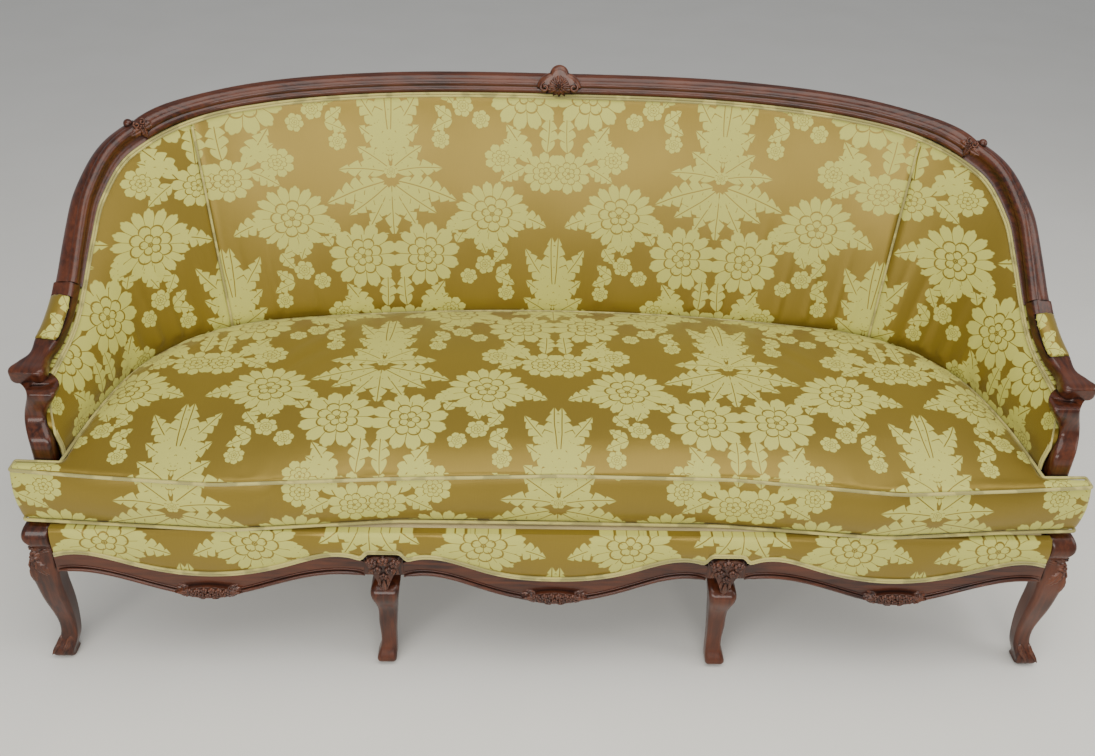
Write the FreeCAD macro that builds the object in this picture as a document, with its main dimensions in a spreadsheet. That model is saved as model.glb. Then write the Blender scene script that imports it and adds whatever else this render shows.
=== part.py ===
"""A cabriole sofa with a basket back: a carved show-wood frame round a sprung seat and a loose cushion.

Millimetres. +X is the sitter's left seen from the front, +Y is the back, +Z is up. The origin is on the
floor, under the middle of the sofa.
"""
import FreeCAD, Part
import math
import os
from FreeCAD import Vector, Placement, Rotation
import Sketcher

os.makedirs("parts", exist_ok=True)
doc = FreeCAD.newDocument("sofa")
sheet = doc.addObject("Spreadsheet::Sheet", "sizes")

# Driving dimensions, one cell each
SIZES = [
    ("overall_depth", 790), ("seat_level", 470), ("recline", 0.26), ("fit_gap", 0.3),
    ("middle_arc_radius", 3000), ("middle_arc_reach", 600), ("corner_arc_radius", 340),
    ("corner_turn", 76), ("arm_arc_radius", 1000), ("arm_turn", 86),
    ("rail_height_middle", 928), ("rail_height_flank", 927), ("rail_height_seam", 906),
    ("rail_height_shoulder", 858), ("rail_height_bend", 790), ("rail_height_fall", 725),
    ("rail_height_arm", 662), ("arm_height_pad", 622), ("arm_height_neck", 601),
    ("arm_height_knuckle", 590),
    ("rail_half_width", 19), ("rail_front", 8), ("rail_behind", 34), ("reed_rise", 2.6),
    ("clasp_station", 775), ("clasp_ball_radius", 9), ("seam_station", 700),
    ("arm_station", 985), ("knuckle_station", 1188),
    ("crest_half_width", 46), ("crest_rise", 20),
    ("arm_half_thickness", 11), ("arm_inner_reach", 6), ("arm_outer_reach", 40),
    ("knuckle_half_thickness", 16), ("knuckle_flare", 13), ("arm_pad_start", 1006),
    ("arm_pad_end", 1098), ("arm_pad_thickness", 14), ("arm_pad_inset", 3),
    ("column_x", 946), ("column_y", -352), ("column_inner_x", 908), ("column_back_y", -318),
    ("stump_half", 20), ("stump_front_y", -330), ("stump_foot_level", 288),
    ("stump_reveal", 15), ("stump_sweep", 66),
    ("ankle_half", 17), ("knee_half", 26), ("foot_half", 21), ("foot_splay", 14),
    ("mid_leg_x", 320), ("mid_leg_half", 36), ("mid_leg_back_y", -325), ("mid_leg_fan_top", 290),
    ("rear_mid_station", 300), ("rear_corner_station", 720), ("rear_leg_half", 22),
    ("rear_leg_kick", 62), ("rear_foot_half", 15),
    ("glide_height", 5), ("glide_radius", 11), ("glide_pin_radius", 2), ("glide_pin_length", 15),
    ("front_face_y", -383), ("front_rabbet_y", -365), ("front_back_y", -345),
    ("front_bottom_high", 240), ("front_bottom_low", 178), ("trim_line_high", 283),
    ("trim_line_low", 231), ("trim_line_cusp", 270), ("carving_half_length", 62),
    ("carving_half_height", 15), ("carving_rise", 8),
    ("rail_bottom", 238), ("rail_top", 324), ("rail_inner", 3), ("frame_outer", 33),
    ("post_front", 9.6), ("stay_rail_bottom", 352), ("stay_rail_height", 42),
    ("layer_gap", 0.6), ("pad_face", 2), ("pad_back", 6.8), ("back_crown", 14), ("cover_thickness", 2.4),
    ("burlap_thickness", 1.2), ("webbing_thickness", 1.6), ("webbing_width", 50),
    ("deck_level", 340), ("cushion_boxing", 112), ("cushion_crown", 34), ("cushion_bulge", 9),
    ("cushion_front_middle", -356), ("cushion_front_bulge", -384), ("cushion_bulge_x", 600),
    ("cushion_ear_x", 966), ("cushion_ear_y", -362), ("cushion_gap", 5), ("welt_radius", 3.2),
    ("trim_width", 10), ("trim_height", 4.5),
    ("spring_radius", 40), ("spring_wire_radius", 1.9), ("spring_turns", 4),
    ("spring_pitch_x", 215), ("spring_pitch_y", 155), ("batten_size", 20),
    ("dowel_radius", 4.5), ("dowel_length", 52), ("block_leg", 58), ("block_height", 50),
    ("screw_radius", 2.2), ("screw_length", 40), ("screw_head_radius", 4.2),
    ("tack_radius", 0.9), ("tack_length", 14), ("tack_head_radius", 4), ("tack_head_height", 1.2),
    ("brace_width", 24), ("brace_height", 52),
]
for row, (alias, value) in enumerate(SIZES, start=1):
    sheet.set("A%d" % row, alias)
    sheet.set("B%d" % row, str(value))
    sheet.setAlias("B%d" % row, alias)
doc.recompute()


def size(alias):
    return float(sheet.get(alias))


FRONT = -size("overall_depth") / 2
RECLINE = size("recline")
SEAT = size("seat_level")
GAP = size("fit_gap")
LAYER_GAP = size("layer_gap")
TILT = math.hypot(1, RECLINE)


# The plan of the basket: a wide middle arc, a tight corner arc and a long arm arc, then a straight
ARC_1, ARC_2, ARC_3 = size("middle_arc_radius"), size("corner_arc_radius"), size("arm_arc_radius")
TURN_1 = math.asin(size("middle_arc_reach") / ARC_1)
TURN_2, TURN_3 = math.radians(size("corner_turn")), math.radians(size("arm_turn"))
STATION_1 = ARC_1 * TURN_1
STATION_2 = STATION_1 + ARC_2 * (TURN_2 - TURN_1)
STATION_3 = STATION_2 + ARC_3 * (TURN_3 - TURN_2)
BACK_EDGE = (size("rail_behind") + RECLINE * size("rail_half_width")) / TILT
BACK_LINE = -FRONT - RECLINE * (size("rail_height_middle") - SEAT) - BACK_EDGE


def plan(station):
    """The reference curve at a distance from the middle, with its outward direction and its bearing."""
    side = 1 if station >= 0 else -1
    reach = abs(station)
    centre_1 = (0, BACK_LINE - ARC_1)
    step_2 = ARC_1 - ARC_2
    centre_2 = (step_2 * math.sin(TURN_1), centre_1[1] + step_2 * math.cos(TURN_1))
    step_3 = ARC_2 - ARC_3
    centre_3 = (centre_2[0] + step_3 * math.sin(TURN_2), centre_2[1] + step_3 * math.cos(TURN_2))
    ahead = 0
    if reach <= STATION_1:
        turn, centre, radius = reach / ARC_1, centre_1, ARC_1
    elif reach <= STATION_2:
        turn, centre, radius = TURN_1 + (reach - STATION_1) / ARC_2, centre_2, ARC_2
    elif reach <= STATION_3:
        turn, centre, radius = TURN_2 + (reach - STATION_2) / ARC_3, centre_3, ARC_3
    else:
        turn, centre, radius, ahead = TURN_3, centre_3, ARC_3, reach - STATION_3
    sine, cosine = math.sin(turn), math.cos(turn)
    x = centre[0] + radius * sine + ahead * cosine
    y = centre[1] + radius * cosine - ahead * sine
    return Vector(side * x, y, 0), Vector(side * sine, cosine, 0), Vector(cosine, -side * sine, 0)


def upright_point(station, level, out):
    """A point on the plan curve moved straight out, at a level."""
    spot, outward, _ = plan(station)
    return Vector(spot.x, spot.y, level) + outward * out


def wall_point(station, level, out):
    """A point on the basket wall, which stands upright below the seat and leans back above it."""
    return upright_point(station, level, RECLINE * max(level - SEAT, 0) + out)


def station_at_y(y):
    """The station on the straight end of the plan curve that has this y."""
    spot, _, along = plan(STATION_3)
    return STATION_3 + (spot.y - y) / -along.y


# The line of the top rail and arm, drawn on the unrolled wall as station and height
RAIL_LINE = [
    (0, size("rail_height_middle")),
    (400, size("rail_height_flank")),
    (660, size("rail_height_seam")),
    (810, size("rail_height_shoulder")),
    (885, size("rail_height_bend")),
    (932, size("rail_height_fall")),
    (size("arm_station"), size("rail_height_arm")),
    (1040, size("arm_height_pad")),
    (1100, size("arm_height_neck")),
    (size("knuckle_station"), size("arm_height_knuckle")),
]


def smooth_line(knots):
    """A curve through the knots whose slopes come from their neighbours; returns it and its length."""
    chord = [0]
    for a, b in zip(knots, knots[1:]):
        chord.append(chord[-1] + math.hypot(b[0] - a[0], b[1] - a[1]))
    slopes = []
    for i in range(len(knots)):
        before, after = max(i - 1, 0), min(i + 1, len(knots) - 1)
        run = chord[after] - chord[before]
        slopes.append([(knots[after][k] - knots[before][k]) / run for k in range(2)])
    slopes[0] = [1, 0]

    def at(length):
        i = max(j for j in range(len(knots) - 1) if chord[j] <= max(length, 0) or j == 0)
        run = chord[i + 1] - chord[i]
        u = (length - chord[i]) / run
        weights = (2 * u**3 - 3 * u**2 + 1, u**3 - 2 * u**2 + u, -2 * u**3 + 3 * u**2, u**3 - u**2)
        return [weights[0] * knots[i][k] + weights[1] * run * slopes[i][k]
                + weights[2] * knots[i + 1][k] + weights[3] * run * slopes[i + 1][k] for k in range(2)]

    return at, chord[-1]


rail_at, RAIL_LENGTH = smooth_line(RAIL_LINE)


def length_at(station):
    """The distance along the rail line at which it passes a station."""
    low, high = 0, RAIL_LENGTH
    for _ in range(40):
        middle = (low + high) / 2
        if rail_at(middle)[0] < station:
            low = middle
        else:
            high = middle
    return low


def rail_centre(length):
    station, level = rail_at(abs(length))
    side = 1 if length >= 0 else -1
    return wall_point(side * station, level, 0)


def rail_frame(length):
    """Centre, outward edge direction and wall normal of the rail; the arm stands upright."""
    station, _ = rail_at(abs(length))
    side = 1 if length >= 0 else -1
    step = 2
    ahead, behind = rail_centre(length + step), rail_centre(length - step)
    along = (ahead - behind).normalize()
    arm = size("arm_station")
    lean = min(max((arm + 45 - station) / 60, 0), 1)
    _, outward, _ = plan(side * station)
    normal = (outward - Vector(0, 0, RECLINE * lean)).normalize()
    edge = along.cross(normal).normalize()
    return rail_centre(length), edge, normal


# Building blocks
def closed_wire(corners):
    """A closed wire through corners; a pair (middle, end) is an arc and a lone vector is a straight."""
    edges, at = [], corners[-1][1] if isinstance(corners[-1], tuple) else corners[-1]
    for corner in corners:
        if isinstance(corner, tuple):
            edges.append(Part.Arc(at, corner[0], corner[1]).toShape())
            at = corner[1]
        else:
            edges.append(Part.LineSegment(at, corner).toShape())
            at = corner
    return Part.Wire(edges)


def loft(wires, ruled=False):
    shape = Part.makeLoft(wires, True, ruled)
    return shape if shape.Volume > 0 else shape.reversed()


def largest(shape):
    return max(shape.Solids, key=lambda solid: solid.Volume)


def mirrored(shape):
    return shape.mirror(Vector(0, 0, 0), Vector(1, 0, 0))


def steps(first, last, count):
    return [first + (last - first) * i / (count - 1) for i in range(count)]


def rounded_box_wire(x0, x1, y0, y1, level, radius, place=None):
    """A level rectangle with rounded corners; place turns x, y and level into a point."""
    put = place or (lambda x, y, z: Vector(x, y, z))
    r = min(radius, 0.45 * (x1 - x0), 0.45 * (y1 - y0))
    c = r * (1 - math.sqrt(0.5))
    at = [
        (x0 + r, y0), (x1 - r, y0), ((x1 - c, y0 + c), (x1, y0 + r)), (x1, y1 - r),
        ((x1 - c, y1 - c), (x1 - r, y1)), (x0 + r, y1), ((x0 + c, y1 - c), (x0, y1 - r)), (x0, y0 + r),
        ((x0 + c, y0 + c), (x0 + r, y0)),
    ]
    corners = []
    for item in at[1:]:
        if isinstance(item[0], tuple):
            corners.append((put(item[0][0], item[0][1], level), put(item[1][0], item[1][1], level)))
        else:
            corners.append(put(item[0], item[1], level))
    return closed_wire(corners)


NODES = []


def keep(name, shape):
    """Stores a shape as a named part of the document."""
    feature = doc.addObject("Part::Feature", name)
    feature.Shape = shape
    feature.Label = name
    NODES.append(feature)
    return feature


def group(shapes):
    solids = [solid for shape in shapes for solid in shape.Solids]
    return Part.makeCompound(solids)


# Level outlines of the seat: straight runs joined by tangent arcs, then the arcs of the basket
def corner_edges(corners, level):
    """Lines joined by tangent arcs; each corner is x, y and a radius, and the ends have none."""
    points = [Vector(x, y, level) for x, y, _ in corners]
    edges, at = [], points[0]
    for i in range(1, len(points) - 1):
        to_last = (points[i - 1] - points[i]).normalize()
        to_next = (points[i + 1] - points[i]).normalize()
        half = to_last.getAngle(to_next) / 2
        reach = corners[i][2] / math.tan(half)
        start, end = points[i] + to_last * reach, points[i] + to_next * reach
        inward = (to_last + to_next).normalize()
        middle = points[i] + inward * (corners[i][2] / math.sin(half) - corners[i][2])
        edges += [Part.LineSegment(at, start).toShape(), Part.Arc(start, middle, end).toShape()]
        at = end
    return edges + [Part.LineSegment(at, points[-1]).toShape()]


def basket_edges(out, level):
    """The arcs of the right half of the basket, from the straight end to the middle."""
    edges, stations = [], (STATION_3, STATION_2, STATION_1, 0)
    for first, last in zip(stations, stations[1:]):
        ends = [upright_point(s, level, out) for s in (first, (first + last) / 2, last)]
        edges.append(Part.Arc(*ends).toShape())
    return edges


def straight_x(y, out):
    """The x of the straight end of the basket at some y."""
    return upright_point(station_at_y(y), 0, 0).x + out / math.cos(math.pi / 2 - TURN_3)


def seat_outline(out, level, front_corners):
    """A closed level outline: the front corners of the right half, then the basket, then its mirror."""
    start = upright_point(STATION_3, level, out)
    right = corner_edges(front_corners + [(start.x, start.y, 0)], level) + basket_edges(out, level)
    edges = right + [mirrored(edge) for edge in right]
    return Part.Wire(Part.__sortEdges__(edges))


def plate(wire, thickness):
    return Part.Face(wire).extrude(Vector(0, 0, thickness))


# Pieces that follow the basket wall
def wall_band(stations, low, high, inner, outer, crown=None):
    """A panel between two offsets of the wall; crown(station) bows its inner face above seat level."""
    wires = []
    for s in stations:
        z0, z1 = low(s), high(s)
        bow = crown(s) if crown else 0
        slope = (high(s + 5) - high(s - 5)) / 10 if crown else 0
        margin = (size("trim_width") + 4) * math.hypot(1, slope)
        front = [wall_point(s, z0, inner)]
        back = [wall_point(s, z0, outer)]
        if z0 < SEAT < z1:
            front.append(wall_point(s, SEAT, inner))
            back.append(wall_point(s, SEAT, outer))
        if crown:
            rim = z1 - margin
            waist = wall_point(s, (SEAT + rim) / 2, inner - bow)
            front.append((waist, wall_point(s, rim, inner)))
        front.append(wall_point(s, z1, inner))
        corners = front[1:] + [wall_point(s, z1, outer)] + back[::-1] + [front[0]]
        wires.append(closed_wire(corners))
    return loft(wires)


def wall_stations(first, last):
    """Stations for a loft along the wall, closer together where one arc of the plan meets the next."""
    nearby = [joint + step for joint in (STATION_1, STATION_2, STATION_3) for step in (-55, -24, 0, 24, 55)]
    filled = [0, 120, 240, 360, 470] + [STATION_1 + 55 + 48 * i for i in range(1, 6)]
    reach = sorted(nearby + filled)
    both = [-s for s in reach[::-1]] + [s for s in reach if s > 0]
    return [first] + [s for s in both if first + 12 < s < last - 12] + [last]


def level_value(value):
    return lambda station: value


def eased(table, at):
    """A value that eases from one entry of a table to the next."""
    for (s0, v0), (s1, v1) in zip(table, table[1:]):
        if at <= s1:
            share = max(at - s0, 0) / (s1 - s0)
            return v0 + (v1 - v0) * share * share * (3 - 2 * share)
    return table[-1][1]


RAIL_HALF, ARM_HALF, KNUCKLE_HALF = (size(n) for n in (
    "rail_half_width", "arm_half_thickness", "knuckle_half_thickness"))
THIN_START, THIN_END, LINE_END = size("arm_pad_start"), size("arm_pad_end"), size("knuckle_station")
WOOD_BELOW = [(size("clasp_station"), RAIL_HALF), (THIN_START + 20, ARM_HALF), (THIN_END, ARM_HALF),
              (LINE_END, KNUCKLE_HALF)]
WOOD_ABOVE = [(size("clasp_station"), RAIL_HALF), (THIN_START, ARM_HALF + 7), (THIN_END, ARM_HALF + 5),
              (THIN_END + 35, ARM_HALF + 2), (LINE_END, KNUCKLE_HALF)]


def wood_below(length):
    return eased(WOOD_BELOW, rail_at(abs(length))[0])


def wood_above(length):
    return eased(WOOD_ABOVE, rail_at(abs(length))[0])


def nearest_station(spot, guess):
    """The station whose place on the plan curve lies square to a point."""
    station = guess
    for _ in range(12):
        foot, _, along = plan(station)
        station += Vector(spot.x - foot.x, spot.y - foot.y, 0).dot(along) * 0.8
    return station


def fabric_edge_table(out):
    """Stations and levels of the line just under the wood, at some depth behind the wall."""
    table = []
    for length in steps(0, RAIL_LENGTH, 90):
        centre, edge, normal = rail_frame(length)
        spot = centre + normal * out - edge * (wood_below(length) + LAYER_GAP)
        table.append((nearest_station(spot, rail_at(length)[0]), spot.z))
    return table


INSIDE_EDGE = fabric_edge_table(size("post_front"))
OUTSIDE_EDGE = fabric_edge_table(size("frame_outer") + size("cover_thickness") + 1)


def read_table(table, station):
    reach = abs(station)
    for (s0, z0), (s1, z1) in zip(table, table[1:]):
        if reach <= s1:
            return z0 + (z1 - z0) * (reach - s0) / (s1 - s0)
    return table[-1][1]


def fabric_top(station):
    """The top of the inside panels, just under the rail and the arm."""
    return read_table(INSIDE_EDGE, station)


def cover_top(station):
    """The top of the outside covers."""
    return read_table(OUTSIDE_EDGE, station)


# Rails, arms and their mouldings
def reeded_wire(length):
    """The reeded section of the middle top rail."""
    centre, edge, normal = rail_frame(length)
    a, rise = size("rail_half_width"), size("reed_rise")
    front, back = -size("rail_front"), size("rail_behind")
    ledge = [(-a, front + 3), (-a * 0.36, front + rise), (a * 0.32, front + rise),
             (a - 1, front + 12), (a - 1, front + 24), (a - 4, back), (4 - a, back)]

    def put(e, n):
        return centre + edge * e + normal * n

    corners = []
    for (e0, n0), (e1, n1) in zip(ledge[:4], ledge[1:5]):
        out = Vector(e1 - e0, n1 - n0, 0).normalize()
        middle = ((e0 + e1) / 2 + out.y * -rise * -1, (n0 + n1) / 2 - out.x * rise)
        corners.append((put(*middle), put(e1, n1)))
    corners += [put(*ledge[5]), put(*ledge[6]), put(*ledge[0])]
    return closed_wire(corners)


def shoulder_wire(length):
    """The section beyond the clasp: a bead on the outer edge and a hollow on the inner one."""
    centre, edge, normal = rail_frame(length)
    front, back, rise = -size("rail_front"), size("rail_behind"), size("reed_rise")
    a, low = wood_above(length), wood_below(length)

    def put(e, n):
        return centre + edge * e + normal * n

    corners = [
        (put(-low * 0.55, front + rise * 2.2), put(0, front + rise * 1.2)),
        (put(a * 0.7, front - 0.4), put(a, front + 13)),
        (put(a + rise, front + 24), put(a - 3, back)),
        put(3 - low, back),
        put(-low, front + rise),
    ]
    return closed_wire(corners)


def arm_wire(length, shrink=1):
    """The arm: a rounded bar that narrows at the neck and flares to the knuckle."""
    station, _ = rail_at(abs(length))
    centre, edge, normal = rail_frame(length)
    neck = 4 * math.sin(math.pi * min(max((station - THIN_END) / 60, 0), 1))
    flare = eased([(THIN_END + 25, 0), (LINE_END, size("knuckle_flare"))], station)
    low, high = -size("arm_inner_reach") + neck - flare * 0.5, size("arm_outer_reach") - neck + flare
    middle, half = (low + high) / 2, (high - low) / 2 * shrink
    below, above = wood_below(length) * shrink, wood_above(length) * shrink
    return rounded_box_wire(middle - half, middle + half, -below, above, 0, 9,
                            lambda n, e, _: centre + normal * n + edge * e)


def rail_loft(section, first, last, count):
    """A loft along the rail line between two stations, a hair short of each."""
    ends = [math.copysign(length_at(abs(s)), s) for s in (first, last)]
    way = GAP / 2
    return loft([section(length) for length in steps(ends[0] + way, ends[1] - way, count)])


def top_rail_center():
    reach = size("clasp_station")
    return rail_loft(reeded_wire, -reach, reach, 19)


def clasp_ball(length):
    """The small scroll that stands on the outer edge where the rails meet."""
    centre, edge, normal = rail_frame(length)
    ball = Part.makeSphere(size("clasp_ball_radius"))
    ball.Placement = Placement(centre + edge * (size("rail_half_width") + 3) + normal * 12, Rotation())
    return ball


def top_rail_right():
    rail = rail_loft(shoulder_wire, size("clasp_station"), size("arm_station"), 9)
    ball = clasp_ball(length_at(size("clasp_station")) + size("clasp_ball_radius") + GAP)
    return rail.fuse(ball).removeSplitter()


def pad_seat(grow):
    """The space over the arm that the pad fills, between its two shoulders."""
    base, wires = ARM_HALF, []
    for station in steps(THIN_START - grow, THIN_END + grow, 7):
        centre, edge, normal = rail_frame(length_at(station))
        wires.append(Part.makePolygon([centre + normal * n + edge * e for n, e in
                                       ((-30, base), (70, base), (70, 50), (-30, 50), (-30, base))]))
    return loft(wires)


def arm_right():
    """The arm bar with its seat for the pad and its rounded knuckle at the front."""
    start, end = length_at(size("arm_station")) + GAP / 2, length_at(LINE_END)
    round_end = size("knuckle_half_thickness") / 2
    wires = [arm_wire(length) for length in steps(start, end - round_end, 13)]
    wires += [arm_wire(end - round_end / 3, 0.9), arm_wire(end, 0.7)]
    return loft(wires).cut(pad_seat(0)).removeSplitter()


def arm_pad_right():
    """The upholstered arm pad, crowned across and drawn down to its ends."""
    wires = []
    inset, base = size("arm_pad_inset"), ARM_HALF + GAP
    for i, station in enumerate(steps(THIN_START + 2 * GAP, THIN_END - 2 * GAP, 7)):
        centre, edge, normal = rail_frame(length_at(station))
        fall = math.sin(math.pi * (0.12 + 0.76 * i / 6)) ** 0.5
        side, top = base + 3, base + 3 + (size("arm_pad_thickness") - 3) * fall
        low, high = -size("arm_inner_reach") + inset, size("arm_outer_reach") - inset
        points = [centre + normal * n + edge * e for n, e in
                  [(low, base), (low, side), ((low + high) / 2, top), (high, side), (high, base)]]
        wires.append(closed_wire([points[1], (points[2], points[3]), points[4], points[0]]))
    return loft(wires)


def crest_carving():
    """The domed shell that stands on the middle of the top rail, in front of it."""
    centre, edge, normal = rail_frame(0)
    half, rise, rail = size("crest_half_width"), size("crest_rise"), size("rail_half_width")
    front = -size("rail_front") - GAP
    wires = []
    for share, depth in ((1, 0), (0.96, 4), (0.75, 9)):
        def put(x, e):
            return centre + Vector(x, 0, 0) * share + edge * (e * share) - normal * (depth - front)
        wires.append(closed_wire([
            (put(half * 0.8, rail - 6), put(half * 0.42, rail + 4)),
            (put(0, rail + rise), put(-half * 0.42, rail + 4)),
            (put(-half * 0.8, rail - 6), put(-half, -rail * 0.3)),
            (put(-half * 0.55, -rail * 0.75), put(0, -rail * 1.1)),
            (put(half * 0.55, -rail * 0.75), put(half, -rail * 0.3)),
        ]))
    return loft(wires)


# Turned-out columns and legs, as rounded squares one above the other
def square_loft(levels, corner=0.42):
    """A loft through squares, each given by its level, middle x and y and its half sizes."""
    return loft([rounded_box_wire(x - a, x + a, y - b, y + b, z, corner * min(a, b))
                 for z, x, y, a, b in levels])


def box_between(x0, x1, y0, y1, z0, z1):
    box = Part.makeBox(x1 - x0, y1 - y0, z1 - z0)
    box.Placement = Placement(Vector(x0, y0, z0), Rotation())
    return box


COLUMN_X, COLUMN_Y = size("column_x"), size("column_y")
FOOT_LEVEL = size("glide_height")
STUMP_FOOT = size("stump_foot_level")


def tenon_block(low, high):
    """The inner part of the corner column that the seat rails meet."""
    return box_between(size("column_inner_x"), COLUMN_X, COLUMN_Y, size("column_back_y"), low, high)


def front_leg_right():
    knee, ankle, foot, splay = (size(n) for n in ("knee_half", "ankle_half", "foot_half", "foot_splay"))
    levels = [
        (FOOT_LEVEL, COLUMN_X + splay - 2, COLUMN_Y - splay / 2, foot - 2, foot - 2),
        (18, COLUMN_X + splay, COLUMN_Y - splay / 2 - 2, foot, foot),
        (36, COLUMN_X + 5, COLUMN_Y - 2, ankle + 1, ankle + 1),
        (62, COLUMN_X, COLUMN_Y + 4, ankle - 1, ankle - 1),
        (100, COLUMN_X, COLUMN_Y + 5, ankle + 1, ankle + 1),
        (150, COLUMN_X + 3, COLUMN_Y, ankle + 5, ankle + 5),
        (200, COLUMN_X + 5, COLUMN_Y - 4, knee - 2, knee - 2),
        (238, COLUMN_X + 4, COLUMN_Y - 3, knee, knee),
        (264, COLUMN_X + 1, COLUMN_Y, knee - 3, knee - 3),
        (STUMP_FOOT, COLUMN_X, COLUMN_Y, knee - 3, knee - 3),
    ]
    return square_loft(levels).fuse(tenon_block(size("rail_bottom"), STUMP_FOOT)).removeSplitter()


def arm_underside(station):
    """The middle of the arm's lower face."""
    length = length_at(station)
    centre, edge, normal = rail_frame(length)
    middle = (size("arm_outer_reach") - size("arm_inner_reach")) / 2
    return centre + normal * middle - edge * (wood_below(length) + GAP)


STUMP_TOP = arm_underside(LINE_END - 32)


def stump_levels():
    """The S-curved arm stump, from its scroll over the leg to the underside of the arm."""
    half, scroll, deck = size("stump_half"), size("knee_half"), size("deck_level")
    seat_y, sweep = size("stump_front_y") + half, size("stump_sweep")
    return [
        (STUMP_FOOT + GAP, COLUMN_X, COLUMN_Y, scroll - 3, scroll - 3),
        (304, COLUMN_X + 3, COLUMN_Y - 2, scroll, scroll),
        (deck - 22, COLUMN_X + 4, COLUMN_Y, scroll, scroll - 2),
        (deck - 9, COLUMN_X, COLUMN_Y + 7, scroll - 3, scroll - 8),
        (deck - 2, COLUMN_X - 8, seat_y, half, half),
        (deck + 12, COLUMN_X - 14, seat_y, half, half),
        (405, COLUMN_X - 22, seat_y, half - 1, half),
        (450, COLUMN_X - 26, seat_y + 1, half - 1, half),
        (500, COLUMN_X - 25, seat_y + 6, half, half),
        (540, COLUMN_X - 19, seat_y + sweep * 0.5, half, half),
        (STUMP_TOP.z - 3, STUMP_TOP.x, seat_y + sweep, half + 2, half + 2),
    ]


def front_of_stump(inset):
    """Everything in front of a line that follows the stump's front face, set back by inset."""
    levels = [(z, y - b + inset) for z, _, y, _, b in stump_levels() if z > size("deck_level")]
    line = [(0, levels[0][1])] + levels[1:] + [(STUMP_TOP.z + 60, levels[-1][1] + 25)]
    points = [Vector(800, y, z) for z, y in line]
    points += [Vector(800, -460, line[-1][0]), Vector(800, -460, 0), points[0]]
    return Part.Face(Part.makePolygon(points)).extrude(Vector(240, 0, 0))


def arm_stump_right():
    """The stump with its tenon block and the rabbet that takes the side panel's front edge."""
    stump = square_loft(stump_levels()).fuse(tenon_block(STUMP_FOOT + GAP, size("rail_top")))
    stations = [LINE_END - 90, LINE_END - 40, LINE_END + 60]
    low = size("deck_level") + 1
    panel_space = wall_band(stations, lambda s: low, lambda s: STUMP_TOP.z + 40, -40, size("pad_back") + GAP)
    rabbet = panel_space.cut(front_of_stump(size("stump_reveal")))
    return largest(stump.cut(rabbet))


def fan_wire(y):
    """The outline of the fan that is carved on a middle leg."""
    x, half, top = size("mid_leg_x"), size("mid_leg_half") - 2, size("mid_leg_fan_top")

    def put(dx, z):
        return Vector(x + dx, y, z)

    return closed_wire([
        (put(half * 0.7, top - 4), put(half, top - 14)),
        (put(half * 0.6, top - 42), put(half * 0.22, top - 76)),
        (put(0, top - 84), put(-half * 0.22, top - 76)),
        (put(-half * 0.6, top - 42), put(-half, top - 14)),
        (put(-half * 0.7, top - 4), put(0, top - 3)),
    ])


def front_leg_mid_right():
    x, half, back = size("mid_leg_x"), size("mid_leg_half"), size("mid_leg_back_y")
    face, rabbet, bottom = size("front_face_y"), size("front_rabbet_y"), size("rail_bottom")
    ankle, foot = size("ankle_half"), size("foot_half")
    seat = (face + back) / 2
    levels = [
        (FOOT_LEVEL, x + 5, face + 14, foot - 4, foot - 4),
        (18, x + 5, face + 11, foot - 2, foot - 2),
        (36, x + 2, face + 18, ankle - 1, ankle - 1),
        (62, x + 1, face + 23, ankle - 2, ankle - 2),
        (100, x + 1, face + 24, ankle, ankle),
        (150, x, face + 22, ankle + 3, ankle + 3),
        (200, x, seat - 1, ankle + 9, ankle + 7),
        (bottom + 4, x, seat, half - 3, (back - face) / 2),
    ]
    shape = square_loft(levels)
    shape = shape.fuse(box_between(x - half, x + half, face, back, bottom, size("mid_leg_fan_top")))
    shape = shape.fuse(box_between(x - half, x + half, rabbet, back, bottom, size("rail_top")))
    fan = Part.Face(fan_wire(face + 4)).extrude(Vector(0, -size("carving_rise") - 4, 0))
    return shape.fuse(fan).removeSplitter()


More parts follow.
